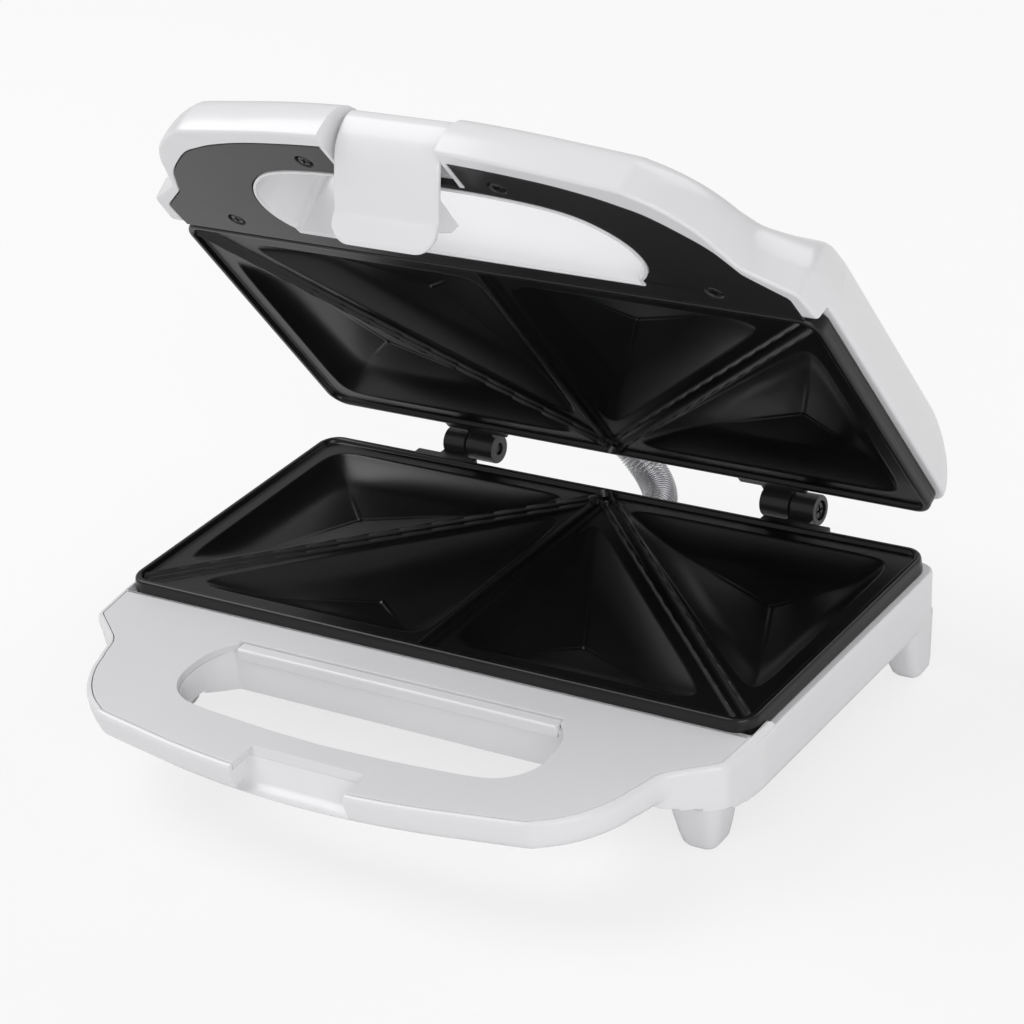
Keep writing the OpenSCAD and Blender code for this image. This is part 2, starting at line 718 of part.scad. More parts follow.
module lid_cavity() {
  plate_window(0, seat_z + seat_t + 1);
  intersection() {
    dome(wall);
    rear_half();
  }
  difference() {
    union() {
      lid_droop() lid_handle_body(2 * cover_inset);
      lid_droop() handle_slab(0, 9, 2 * cover_inset);
      intersection() {
        dome(wall);
        front_half();
      }
    }
    lid_droop() slice(-through, 3 * through) opening_outline(opening_collar);
    latch_recess(latch_wall);
    lid_droop() at_cover_screws(lid_cover_screws_at) translate([0, 0, cover_t])
      cylinder(through, r = cover_boss_r);
  }
}

module lid_shell() {
  color("white") in_lid() difference() {
    union() {
      dome(0);
      lid_droop() lid_handle_body(0);
      lid_droop() handle_slab(0, handle_side[0], 0);
    }
    lid_cavity();
    lid_droop() {
      slice(-through, 3 * through) opening_outline(0);
      handle_slab(-1, cover_t, cover_inset);
      at_cover_screws(lid_cover_screws_at) cylinder(9, r = cover_screw_r);
    }
    latch_recess(0);
    plate_recess(-1, seat_z + 1);
    rear_hole(lid_conduit_x, lid_conduit_z, grommet_neck_r);
    on_latch_axis(latch_recess_w / 2 + latch_wall) cylinder(latch_recess_w + 2 * latch_wall, r = latch_pin_r);
    lens_places() translate([0, 0, -1]) cylinder(through, r = lens_r);
  }
}

module on_latch_axis(half) translate([-half, latch_pivot[0], latch_pivot[1]]) rotate([0, 90, 0]) children();

module at_cover_screws(places) for (x = [-1, 1], p = places) translate([x * p[0], p[1], 0]) children();

handle_screw_head_r = 2.4;
handle_screw_head_t = 0.9;
handle_screw_sunk = 0.1;
handle_screw_len = 8;
module lid_handle_cover() {
  color([0.09, 0.09, 0.1]) in_lid() difference() {
    lid_droop() difference() {
      handle_slab(0, cover_t, cover_inset + 0.1);
      slice(-through, 2 * through) opening_outline(0);
      at_cover_screws(lid_cover_screws_at) {
        translate([0, 0, -1]) cylinder(through, r = cover_screw_r);
        translate([0, 0, -1]) cylinder(2, r = handle_screw_head_r);
      }
    }
    latch_recess(0);
  }
}

module lid_handle_screws() {
  color([0.3, 0.3, 0.31]) in_lid() lid_droop() at_cover_screws(lid_cover_screws_at)
    translate([0, 0, handle_screw_sunk]) mirror([0, 0, 1])
      cross_screw(cover_screw_r, handle_screw_head_r, handle_screw_head_t, handle_screw_len);
}

module lid_plate() { color([0.06, 0.06, 0.065]) in_lid() flip_to_lid() plate_body(lid_leaf); }

module lid_heating_element() { color([0.45, 0.43, 0.42]) in_lid() flip_to_lid() heating_tube(); }

module lid_reflector() { color([0.8, 0.81, 0.83]) in_lid() flip_to_lid() heat_reflector(); }

module lid_plate_screws() {
  color([0.55, 0.55, 0.57]) in_lid() flip_to_lid() at_corners() translate([0, 0, post_top - screw_head_t])
    mirror([0, 0, 1]) cross_screw(screw_r, screw_head_r, screw_head_t, lid_plate_screw_len);
}

// Two indicator lenses in the crown, each with its lamp below
lens_r = 4.5;
lens_flange_r = 6;
lens_flange_t = 1.2;
lens_rise = 0.8;
lens_spacing = 28;
lens_y = -48;
lamp_r = 2.5;
lamp_len = 9;
module lens_places() for (x = [-1, 1]) translate([x * lens_spacing / 2, lens_y, lid_h - wall]) children();

module indicator_lenses() {
  color([0.8, 0.12, 0.08]) in_lid() lens_places() {
    cylinder(wall + lens_rise, r = lens_r);
    translate([0, 0, -lens_flange_t]) cylinder(lens_flange_t, r = lens_flange_r);
  }
}

module indicator_lamps() {
  color([0.9, 0.75, 0.6]) in_lid() lens_places() translate([0, 0, -lens_flange_t - lamp_len])
    cylinder(lamp_len, r = lamp_r);
}

module base_cover_screws() {
  color([0.55, 0.55, 0.57]) in_base() base_droop() at_cover_screws(base_cover_screws_at)
    translate([0, 0, -base_handle_t + handle_screw_sunk]) rotate([180, 0, 0])
      cross_screw(cover_screw_r, handle_screw_head_r, handle_screw_head_t,
        cover_screw_reach - handle_screw_sunk - handle_screw_head_t);
}

// ---------- latch ----------

latch_hub_r = 4;
latch_face = 9.6;
latch_crease = -24.2;
latch_tip = -32;
latch_rib_t = 1.8;
latch_corner_r = 7;

// Side view about the pivot, in the closed position: band, face, crease and lip
module latch_side() polygon([
  [-2.8, 2.9], [-latch_face, -6.3], [-latch_face - 0.2, latch_crease],
  [-latch_face - 0.7, latch_crease - 2.4], [-latch_face - 2.2, latch_tip],
  [-latch_face - 2.2 + latch_t, latch_tip], [-latch_face - 0.7 + latch_t, latch_crease - 2.2],
  [-latch_face - 0.2 + latch_t, latch_crease], [-latch_face + latch_t, -6.9], [-1.5, 1]]);

// Stiffening rib behind each end of the latch: where it starts, its tip, heel and foot
latch_rib_start = -16;
latch_rib_tip = [0.9, -25.4];
latch_rib_heel = [-2.8, -26.8];
latch_rib_foot = -26;
module latch_rib_side() polygon([
  [-latch_face + 0.5, latch_rib_start], latch_rib_tip, latch_rib_heel, [-latch_face - 0.2, latch_rib_foot]]);

module latch() {
  color("white") in_lid() translate([0, latch_pivot[0], latch_pivot[1]]) rotate([latch_swing, 0, 0])
    difference() {
      rotate([90, 0, 90]) {
        translate([0, 0, -latch_w / 2]) linear_extrude(latch_w) latch_side();
        translate([0, 0, -latch_w / 2]) cylinder(latch_w, r = latch_hub_r);
        for (x = [-latch_w / 2, latch_w / 2 - latch_rib_t]) translate([0, 0, x])
          linear_extrude(latch_rib_t) latch_rib_side();
      }
      rotate([0, 90, 0]) cylinder(2 * latch_w, r = latch_pin_r + running_clearance, center = true);
      for (side = [0, 1]) mirror([side, 0, 0]) latch_corner_cut();
    }
}

// Rounds a lower corner of the latch
module latch_corner_cut() rotate([90, 0, 0]) linear_extrude(4 * latch_face, center = true) difference() {
  translate([latch_w / 2 - latch_corner_r, latch_tip - 1]) square(latch_corner_r + 1);
  translate([latch_w / 2 - latch_corner_r, latch_tip + latch_corner_r]) circle(latch_corner_r);
}

module latch_pin() {
  color([0.6, 0.6, 0.62]) in_lid() on_latch_axis(latch_recess_w / 2 + latch_wall)
    cylinder(latch_recess_w + 2 * latch_wall, r = latch_pin_r);
}

base_shell();
base_handle_cover();
base_plate();
base_heating_element();
base_reflector();
thermostat();
thermal_fuse();
terminal_block();
base_plate_screws();
base_cover_screws();
cord_inlet_bush();
base_conduit_grommet();
base_hinge_brackets();
base_hinge_screws();
hinge_pins();
lid_shell();
lid_handle_cover();
lid_handle_screws();
lid_plate();
lid_heating_element();
lid_reflector();
lid_plate_screws();
lid_hinge_brackets();
lid_hinge_screws();
lid_conduit_grommet();
indicator_lenses();
indicator_lamps();
latch();
latch_pin();
conduit_spring();
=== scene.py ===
"""Looks of the sandwich toaster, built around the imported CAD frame."""
import json
import math
import bmesh
import bpy
import numpy as np
from mathutils import Matrix, Vector


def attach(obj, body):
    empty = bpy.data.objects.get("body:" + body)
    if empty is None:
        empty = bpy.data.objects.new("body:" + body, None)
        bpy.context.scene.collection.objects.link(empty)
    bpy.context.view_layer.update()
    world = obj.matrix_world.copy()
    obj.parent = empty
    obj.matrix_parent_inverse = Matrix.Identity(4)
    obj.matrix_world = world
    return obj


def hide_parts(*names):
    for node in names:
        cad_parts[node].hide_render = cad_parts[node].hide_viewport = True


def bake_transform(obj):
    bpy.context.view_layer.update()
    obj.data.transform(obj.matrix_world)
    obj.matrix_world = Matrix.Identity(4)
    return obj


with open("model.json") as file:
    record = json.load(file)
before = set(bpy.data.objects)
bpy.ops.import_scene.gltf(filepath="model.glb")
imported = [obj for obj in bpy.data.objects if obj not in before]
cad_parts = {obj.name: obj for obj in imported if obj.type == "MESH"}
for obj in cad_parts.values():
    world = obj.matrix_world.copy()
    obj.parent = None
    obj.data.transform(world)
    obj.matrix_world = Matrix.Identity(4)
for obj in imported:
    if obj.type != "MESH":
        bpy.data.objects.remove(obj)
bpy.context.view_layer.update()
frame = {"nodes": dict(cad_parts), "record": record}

# ---------- sizes, in millimetres, as in the CAD model ----------

PLATE_W, PLATE_D = 230.0, 110.0
POCKET_DEPTH = 9.7
PLATE_CORNER_R = 7.0
LEDGE = -1.5                                # height of the plate's face round the pockets
SEAT_SIDE_GAP, SEAT_END_GAP = 0.3, 0.25     # between a plate and its casing
RIM_GAP = 0.4
LID_OPEN = 56.3
PLATE_BACK_Y, BASE_H = 70.354, 41.0
FOOT_LIFT = 0.02                            # keeps the soles off the floor's own plane
HINGE_BACK = 10.5
HINGE_Y = PLATE_BACK_Y + HINGE_BACK
DECK_DROP, BASE_DROOP, LID_DROOP = 4.1, 3.0, 2.0
HANDLE_REACH = 69.0
HANDLE_FRONT = PLATE_D + HANDLE_REACH
SIDE_X = 117.5
FRONT_R = 313.0
HANDLE_CORNER, HANDLE_CORNER_R = (62.5, 136.0), 37.0
TRAY_FRONT = 136.0
FAR = 200.0                                 # well clear of the part
LENS_X, LENS_V, LENS_HOLE_R = 14.0, 48.0, 4.6

# Places as (x, forward)
FRONT_SCREW = (34, HANDLE_FRONT - 16.6)
BASE_SIDE_SCREW = (82, HANDLE_FRONT - 29)
LID_SHOULDER_SCREW = (86, PLATE_D + 8.9)
PLATE_SCREW_X, PLATE_SCREW_V = PLATE_W / 2 - 15, (18, PLATE_D - 18)

# Places on a rear wall, as (x, height)
BASE_CONDUIT = (4.5, -16.0)
LID_CONDUIT = (-15.5, 18.0)
CORD_INLET = (85.0, -16.0)
CONDUIT_HOLE_R, CORD_HOLE_R = 6.35, 5.0
REAR_WALL_Y = 1.5

BARREL_R = 5.0
BASE_BARREL, BASE_LEAF = (62.6, 71.2), (55.0, 79.2)
LID_BARREL, LID_LEAF = (51.5, 62.0), (44.5, 69.0)

LATCH_W, LATCH_SWING = 37.0, 44.0
LATCH_PIVOT = (10.5 - HANDLE_FRONT, 9.5)
LATCH_ROOM_HALF = LATCH_W / 2 + 2.2
NOTCH_HALF = LATCH_W / 2 + 2.25
LATCH_HALF_SHEET = 1.0
LATCH_CORNER_R = 7.0
LATCH_BORE_R, LATCH_HUB_R = 1.56, 3.4

CONDUIT_D, CONDUIT_WIRE, CONDUIT_PITCH = 11.7, 0.72, 1.08
CONDUIT_FLANGE, CONDUIT_STIFFNESS = 3.0, 16.0

MM = 0.001
SCALE = Matrix.Scale(MM, 4)
MIRROR = Matrix.Diagonal((-1, 1, 1, 1))


def turn_x(degrees, y=0.0, z=0.0):
    """Turn about an axis along X through (y, z)."""
    there = Matrix.Translation((0, y, z))
    return there @ Matrix.Rotation(math.radians(degrees), 4, "X") @ there.inverted()


# Plate frame: y = 0 at the plates' back edge, z = 0 at the parting plane
IN_BASE = SCALE @ Matrix.Translation((0, PLATE_BACK_Y, BASE_H))
IN_LID = (SCALE @ Matrix.Translation((0, HINGE_Y, BASE_H))
          @ Matrix.Rotation(math.radians(-LID_OPEN), 4, "X") @ Matrix.Translation((0, -HINGE_BACK, 0)))
# Deck frame: z = 0 at a handle's cover
BASE_DECK = turn_x(BASE_DROOP, -PLATE_D, -DECK_DROP) @ Matrix.Translation((0, 0, -DECK_DROP))
LID_DECK = turn_x(LID_DROOP, -PLATE_D, RIM_GAP) @ Matrix.Translation((0, 0, RIM_GAP))
# The lid's plate and brackets are the base's, upside down
FLIP = Matrix.Translation((0, 0, RIM_GAP)) @ Matrix.Diagonal((1, 1, -1, 1))


# ---------- materials ----------

BROAD_NOISE = 22.0
BUMP_DEPTH = 0.0003
COAT_ROUGHNESS = 0.08


def material(name, color, roughness, metallic=0.0, vary=0.04, bump=0.02, scale=400.0, coat=0.0,
             rough_vary=0.05, specular=0.5):
    """Broad noise varies colour and roughness, and fine noise gives the grain."""
    m = bpy.data.materials.new(name)
    m.use_nodes = True
    nt = m.node_tree
    p = nt.nodes["Principled BSDF"]
    p.inputs["Metallic"].default_value = metallic
    p.inputs["Coat Weight"].default_value = coat
    p.inputs["Coat Roughness"].default_value = COAT_ROUGHNESS
    p.inputs["Specular IOR Level"].default_value = specular
    where = nt.nodes.new("ShaderNodeTexCoord")
    broad = nt.nodes.new("ShaderNodeTexNoise")
    broad.inputs["Scale"].default_value = BROAD_NOISE
    broad.inputs["Detail"].default_value = 4.0
    nt.links.new(where.outputs["Object"], broad.inputs["Vector"])
    tint = nt.nodes.new("ShaderNodeValToRGB")
    for stop, factor in ((0, 1 - vary), (1, 1 + vary)):
        tint.color_ramp.elements[stop].color = (*[min(1.0, c * factor) for c in color], 1)
    tint.color_ramp.elements[0].position = 0.3
    tint.color_ramp.elements[1].position = 0.7
    nt.links.new(broad.outputs["Fac"], tint.inputs["Fac"])
    nt.links.new(tint.outputs["Color"], p.inputs["Base Color"])
    rough = nt.nodes.new("ShaderNodeMapRange")
    rough.inputs["To Min"].default_value = max(0.02, roughness - rough_vary)
    rough.inputs["To Max"].default_value = roughness + rough_vary
    nt.links.new(broad.outputs["Fac"], rough.inputs["Value"])
    nt.links.new(rough.outputs["Result"], p.inputs["Roughness"])
    fine = nt.nodes.new("ShaderNodeTexNoise")
    fine.inputs["Scale"].default_value = scale
    fine.inputs["Detail"].default_value = 3.0
    nt.links.new(where.outputs["Object"], fine.inputs["Vector"])
    b = nt.nodes.new("ShaderNodeBump")
    b.inputs["Strength"].default_value = bump
    b.inputs["Distance"].default_value = BUMP_DEPTH
    nt.links.new(fine.outputs["Fac"], b.inputs["Height"])
    nt.links.new(b.outputs["Normal"], p.inputs["Normal"])
    return m


MATERIALS = {
    "white_plastic": material("white_gloss", (0.845, 0.843, 0.86), 0.26, vary=0.012, bump=0.02, coat=0.15,
                              rough_vary=0.012),
    "white_satin": material("white_satin", (0.775, 0.77, 0.79), 0.42, vary=0.012, bump=0.08, scale=900.0,
                            rough_vary=0.02),
    "black_plate": material("non_stick", (0.0045, 0.0045, 0.0048), 0.30, vary=0.25, bump=0.06,
                            scale=1500.0, specular=0.42),
    "black_plastic": material("black_satin", (0.013, 0.013, 0.014), 0.36, vary=0.15, bump=0.10,
                              scale=1100.0),
    "hinge_black": material("black_enamel", (0.014, 0.014, 0.015), 0.30, vary=0.2, bump=0.08, scale=900.0),
    "screw_black": material("blackened_steel", (0.05, 0.05, 0.053), 0.32, metallic=0.7, vary=0.2,
                            bump=0.08),
    "screw_steel": material("zinc_steel", (0.55, 0.55, 0.57), 0.35, metallic=1.0, vary=0.1, bump=0.08),
    "element_steel": material("tinted_steel", (0.40, 0.36, 0.33), 0.42, metallic=1.0, vary=0.25, bump=0.1),
    "reflector_aluminium": material("mill_aluminium", (0.78, 0.79, 0.80), 0.34, metallic=1.0, vary=0.05,
                                    bump=0.1),
    "thermostat_metal": material("plain_steel", (0.60, 0.57, 0.52), 0.36, metallic=1.0, vary=0.1,
                                 bump=0.05),
    "fuse_sleeve": material("glass_sleeve", (0.74, 0.71, 0.60), 0.75, vary=0.12, bump=0.5, scale=1400.0),
    "terminal_ceramic": material("ceramic", (0.74, 0.73, 0.68), 0.3, vary=0.05, bump=0.05),
    "bush_rubber": material("rubber", (0.022, 0.022, 0.023), 0.62, vary=0.2, bump=0.15, scale=700.0),
    "spring_steel": material("bright_wire", (0.55, 0.55, 0.57), 0.24, metallic=1.0, vary=0.15, bump=0.04),
    "pin_steel": material("pin_steel", (0.55, 0.55, 0.57), 0.3, metallic=1.0, vary=0.1, bump=0.05),
    "lens_plastic": material("red_lens", (0.55, 0.03, 0.02), 0.12, vary=0.08, bump=0.02, coat=0.5),
    "lamp_glass": material("lamp_glass", (0.75, 0.62, 0.5), 0.1, vary=0.1, bump=0.02),
}


# ---------- pieces from meshes ----------

SHARP_EDGE = 38
NORMAL_WEIGHT = 80


def new_object(name, verts, faces, place=Matrix.Identity(4)):
    """A linked object whose faces point outward."""
    mesh = bpy.data.meshes.new(name)
    mesh.from_pydata([tuple(v) for v in verts], [], [tuple(f) for f in faces])
    mesh.transform(place)
    mesh.validate()
    outward(mesh)
    o = bpy.data.objects.new(name, mesh)
    bpy.context.scene.collection.objects.link(o)
    return o


def outward(mesh):
    """Turns a closed mesh's faces outward."""
    shape = bmesh.new()
    shape.from_mesh(mesh)
    bmesh.ops.recalc_face_normals(shape, faces=shape.faces)
    if all(e.is_manifold for e in shape.edges) and shape.calc_volume(signed=True) < 0:
        bmesh.ops.reverse_faces(shape, faces=shape.faces)
    shape.to_mesh(mesh)
    shape.free()


def make(name, part, body, slot, replaces, place, sharp=SHARP_EDGE):
    """A finished piece, shaded smooth except over edges sharper than the angle."""
    o = new_object(name, *part, place)
    dress(o, body, slot, replaces, sharp=sharp)
    return o


def finish_solid(o, name, body, slot, replaces, place, look=None):
    """Makes a finished piece of a working solid."""
    o.name = o.data.name = name
    o.data.transform(place)
    dress(o, body, slot, replaces, look)
    return o


def dress(o, body, slot, replaces, look=None, sharp=SHARP_EDGE):
    """Gives a piece its material, its shading and its place in the frame."""
    o.data.materials.clear()
    o.data.materials.append(MATERIALS[look or slot])
    o.data.shade_smooth()
    o.data.set_sharp_from_angle(angle=math.radians(sharp))
    even_out = o.modifiers.new("weighted_normals", "WEIGHTED_NORMAL")
    even_out.keep_sharp = True
    even_out.weight = NORMAL_WEIGHT
    if body:
        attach(o, body)
        for n in replaces:
            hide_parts(n)


# ---------- working solids ----------

def solid(part, place=Matrix.Identity(4)):
    """A plain working mesh, for a boolean."""
    o = new_object("work", *part)
    o.data.transform(place)
    return o


def solid_pair(part, place=Matrix.Identity(4)):
    """A working solid and its mirror image."""
    return [solid(part, place), solid(moved(part, matrix=MIRROR), place)]


def taken(o):
    """The verts and faces of a working solid, which is removed."""
    verts = np.array([tuple(p.co) for p in o.data.vertices])
    faces = [tuple(p.vertices) for p in o.data.polygons]
    bpy.data.objects.remove(o)
    return verts, faces


def bake(o):
    """Applies the modifiers of o."""
    done = bpy.data.meshes.new_from_object(o.evaluated_get(bpy.context.evaluated_depsgraph_get()))
    o.modifiers.clear()
    o.data = done


def combine(o, others, operation):
    """Adds the other solids to o, or cuts them from it, and removes them."""
    for c in others:
        m = o.modifiers.new("combine", "BOOLEAN")
        m.operation = operation
        m.solver = "MANIFOLD"
        m.object = c
        bake(o)
        bpy.data.objects.remove(c)
    return o


# ---------- forms, each as (verts, faces) ----------

def cap(ring, start):
    """Faces over a ring: strips across it where it is a mirror image of itself, else one face."""
    n = len(ring)
    x = ring[:, 0]
    order = np.arange(n)
    for shift in (0, 1):
        twin = (n - shift - order) % n
        if np.allclose(x, -x[twin], atol=1e-4) and np.ptp(x) > 1:
            faces = []
            for i in range(1 - shift, n // 2):
                face = list(dict.fromkeys([i, i + 1, int(twin[i + 1]), int(twin[i])]))
                if len(face) > 2:
                    faces.append(tuple(start + k for k in face))
            if shift == 0:
                faces.append((start, start + 1, start + n - 1))
            return faces
    return [tuple(range(start, start + n))]


def loft(rings, caps=True):
    """Skin through closed rings of as many points each."""
    n = len(rings[0])
    faces = []
    for k in range(len(rings) - 1):
        for i in range(n):
            a, b = k * n + i, k * n + (i + 1) % n
            faces.append((a, b, b + n, a + n))
    if caps:
        faces += cap(np.asarray(rings[0]), 0) + cap(np.asarray(rings[-1]), (len(rings) - 1) * n)
    return np.concatenate(rings), faces


def level_ring(outline, z):
    """A flat ring: z is one height, or a height for each point."""
    return np.column_stack([outline, np.broadcast_to(z, len(outline))])


def upright(outline, levels):
    """An outline raised through levels, each as (height, inset)."""
    return loft([level_ring(inset(outline, d), z) for z, d in levels])


def lathe(profile, sides, axis):
    """A turned solid: the profile is (along, radius)."""
    rings = []
    for along, r in profile:
        a = np.arange(sides) * 2 * math.pi / sides
        c, s = r * np.cos(a), r * np.sin(a)
        at = np.full(sides, along)
        rings.append(np.column_stack({"x": (at, c, s), "y": (s, at, c), "z": (c, s, at)}[axis]))
    return loft(rings)


def prism(polygon, x0, x1, edge=0.35):
    """Extrudes a (y, z) polygon along x, with softened ends."""
    rings = []
    for x, d in ((x0, edge), (x0 + edge * 0.3, edge * 0.3), (x0 + edge, 0), (x1 - edge, 0),
                 (x1 - edge * 0.3, edge * 0.3), (x1, edge)):
        q = inset(polygon, d)
        rings.append(np.column_stack([np.full(len(q), x), q]))
    return loft(rings)


def block(x0, x1, y0, y1, z0, z1):
    ring = [(x0, y0), (x1, y0), (x1, y1), (x0, y1)]
    return loft([np.array([(x, y, z) for x, y in ring], float) for z in (z0, z1)])


def joined(parts):
    """Several forms as one."""
    verts, faces, base = [], [], 0
    for v, f in parts:
        verts.append(np.asarray(v, float))
        faces += [tuple(i + base for i in face) for face in f]
        base += len(v)
    return np.concatenate(verts), faces


def moved(part, dy=0.0, dz=0.0, matrix=None):
    """A form shifted, and then put through a matrix."""
    v = np.asarray(part[0], float) + (0, dy, dz)
    if matrix is not None:
        m = np.array(matrix)
        v = v @ m[:3, :3].T + m[:3, 3]
        if np.linalg.det(m[:3, :3]) < 0:
            return v, [tuple(reversed(f)) for f in part[1]]
    return v, part[1]


def both_sides(part):
    """A form and its mirror image, as one."""
    return joined([part, moved(part, matrix=MIRROR)])


def mirrored(places):
    """Each (x, forward) place, and the same place on the left."""
    return [(side * x, v) for x, v in places for side in (1, -1)]


# ---------- lines and outlines ----------

MITRE_LIMIT = 0.35
CORNER_STEPS = 8
CORNER_SHARE = 0.49     # how much of an edge a rounded corner may take


def unit(rows):
    """Rows of vectors, each at length 1."""
    return rows / (np.linalg.norm(rows, axis=1)[:, None] + 1e-12)


def along_line(p):
    """Distance from the first point to each point of a line."""
    return np.concatenate([[0], np.cumsum(np.linalg.norm(np.diff(p, axis=0), axis=1))])


def read_line(at, s, rows):
    """The rows of a table, read at other distances than its own."""
    return np.column_stack([np.interp(at, s, rows[:, k]) for k in range(rows.shape[1])])


def area(p):
    x, y = p[:, 0], p[:, 1]
    return 0.5 * float(np.sum(x * np.roll(y, -1) - np.roll(x, -1) * y))


def inset(p, d):
    """A closed outline drawn in by d (grown if d is below 0)."""
    p = np.asarray(p, float)
    if abs(d) < 1e-9:
        return p.copy()
    before, after = p - np.roll(p, 1, 0), np.roll(p, -1, 0) - p
    side = 1.0 if area(p) > 0 else -1.0
    n1 = side * unit(np.column_stack([-before[:, 1], before[:, 0]]))
    n2 = side * unit(np.column_stack([-after[:, 1], after[:, 0]]))
    n = unit(n1 + n2)
    return p + n * (d / np.maximum(MITRE_LIMIT, np.sum(n * n1, axis=1)))[:, None]


def fillet(points, radii):
    """An open line of points, rounded at the ones that radii names."""
    out = []
    for i, point in enumerate(points):
        c = np.array(point, float)
        if i not in radii:
            out.append(c)
            continue
        u, v = np.array(points[i - 1], float) - c, np.array(points[i + 1], float) - c
        lu, lv = np.linalg.norm(u), np.linalg.norm(v)
        u, v = u / lu, v / lv
        half = math.acos(np.clip(u @ v, -1, 1)) / 2
        cut = min(radii[i] / math.tan(half), lu * CORNER_SHARE, lv * CORNER_SHARE)
        a, b = c + u * cut, c + v * cut
        for k in range(CORNER_STEPS + 1):
            t = k / CORNER_STEPS
            out.append((1 - t) ** 2 * a + 2 * t * (1 - t) * c + t * t * b)
    return np.array(out)


def even(points, step):
    """Points spread evenly along a line."""
    p = np.asarray(points, float)
    s = along_line(p)
    n = max(2, int(round(s[-1] / step)))
    return read_line(np.linspace(0, s[-1], n + 1), s, p)


def smooth_curve(points, each):
    """A Catmull-Rom curve through points, with so many steps between two of them."""
    p = np.asarray(points, float)
    p = np.vstack([2 * p[0] - p[1], p, 2 * p[-1] - p[-2]])
    out = []
    for i in range(1, len(p) - 2):
        for k in range(each):
            t = k / each
            out.append(0.5 * (2 * p[i] + (p[i + 1] - p[i - 1]) * t
                              + (2 * p[i - 1] - 5 * p[i] + 4 * p[i + 1] - p[i + 2]) * t * t
                              + (3 * p[i] - p[i - 1] - 3 * p[i + 1] + p[i + 2]) * t ** 3))
    out.append(p[-2])
    return np.array(out)


def both_halves(half, step):
    """Closed outline from its right half, given as (x, forward) from back to front."""
    right = even(half, step)
    left = right[::-1] * (-1, 1)
    if abs(right[-1][0]) < 1e-6:
        left = left[1:]
    if abs(right[0][0]) < 1e-6:
        left = left[:-1]
    return np.vstack([right, left]) * (1, -1)


def ease01(t):
    """A smooth step from 0 to 1."""
    t = np.clip(t, 0, 1)
    return t * t * (3 - 2 * t)


def front_line(x):
    """How far forward the handle's front is, at x."""
    return HANDLE_FRONT - FRONT_R + math.sqrt(FRONT_R ** 2 - x * x)


def handle_half(near):
    """Right half of an outline that ends in the handle, from the line that leads up to it."""
    (x, v), r = HANDLE_CORNER, HANDLE_CORNER_R
    arc = [(x + r * math.cos(a), v + r * math.sin(a)) for a in np.radians(np.arange(14, 70, 6))]
    front = [(x, front_line(x)) for x in (58, 49, 40, 30, 20, 10, 0)]
    return np.vstack([near[:-1], smooth_curve([tuple(near[-1])] + arc + front, 6)])


SHOULDER, WAIST, HANDLE_ROOT = (115.5, 124.9), (101.2, 135.8), (99.4, 142.5)
SIDE_FRONT_V = 106.5

HANDLE = both_halves(handle_half(fillet([(117.1, 100), (116.9, 108), (115.6, 124.9), WAIST, HANDLE_ROOT],
                                        {2: 4, 3: 9})), 1.2)
TRAY = both_halves(fillet([(0, -REAR_WALL_Y), (SIDE_X, -REAR_WALL_Y), (SIDE_X, SIDE_FRONT_V), SHOULDER,
                           WAIST, (0, TRAY_FRONT)], {1: 8, 3: 4, 4: 8}), 1.6)
LID_OUTLINE = both_halves(handle_half(fillet([(0, -REAR_WALL_Y), (SIDE_X, -REAR_WALL_Y),
                                              (SIDE_X, SIDE_FRONT_V), SHOULDER, WAIST, HANDLE_ROOT],
                                             {1: 10, 3: 4, 4: 9})), 1.3)


def opening(rear, x, end):
    """A finger opening: a straight back edge of half width x, then a smooth curve to the front."""
    return both_halves(np.vstack([[(0, rear), (x, rear)], smooth_curve(end, 8)]), 0.9)


BASE_OPENING = opening(124.3, 60.8, [
    (62, 125.4), (64.5, 130.5), (65.8, 137), (65.3, 144), (62, 149.8), (56.4, 153.6), (48, 155.4),
    (36, 156.5), (20, 157.7), (0, 158.4)])
COVER_OPENING = opening(121.2, 59.2, [
    (59.5, 123.6), (61.6, 125.2), (64.8, 130.4), (66.1, 137), (65.6, 144.2), (62.2, 150.1),
    (56.5, 153.9), (48, 155.7), (36, 156.8), (20, 158), (0, 158.7)])
LID_OPENING = opening(118.2, 61.2, [
    (61.4, 120.9), (63, 121.8), (66, 126.4), (67, 132), (65.7, 138.4), (61.6, 144.8), (55, 150.2),
    (46, 153.4), (34, 155.3), (20, 156.4), (0, 156.9)])
LID_PANEL = both_halves(np.vstack([
    fillet([(111.6, 110.4), (111.4, 121.8), (100.4, 132.2), (98.2, 137.5)], {1: 2.0, 2: 4.0})[:-1],
    smooth_curve([(98.2, 137.5), (95.2, 143.8), (90, 150), (81.5, 157.9), (74, 161.8), (66, 165),
                  (52, 168.6), (31, 171.6), (15, 172.8), (0, 173.2)], 6)]), 1.2)


# ---------- base casing ----------

FOOT_SQUARENESS = 3.6
FOOT_SIDES = 40
SOLE_Z = -BASE_H + FOOT_LIFT


def tray():
    """The base's body under the plate, cut off squarely in front where the handle begins."""
    rings = []
    # Height, inset, and how far the front is cut back
    for z, d, cut in ((-5.5, 1.0, 0), (-5.62, 0.5, 0), (-6.0, 0.12, 0), (-6.7, 0, 0), (-11, 0.45, 0),
                      (-15.5, 0.8, 0), (-17.2, 0.95, 1), (-18.2, 1.05, 3.5), (-19.6, 1.2, 7.5),
                      (-21.4, 1.4, 15), (-22.8, 1.8, 21), (-23.7, 2.6, 25), (-24, 4.0, 28)):
        p = inset(TRAY, d)
        p[:, 1] = np.maximum(p[:, 1], cut - TRAY_FRONT)
        rings.append(level_ring(p, z))
    return loft(rings)


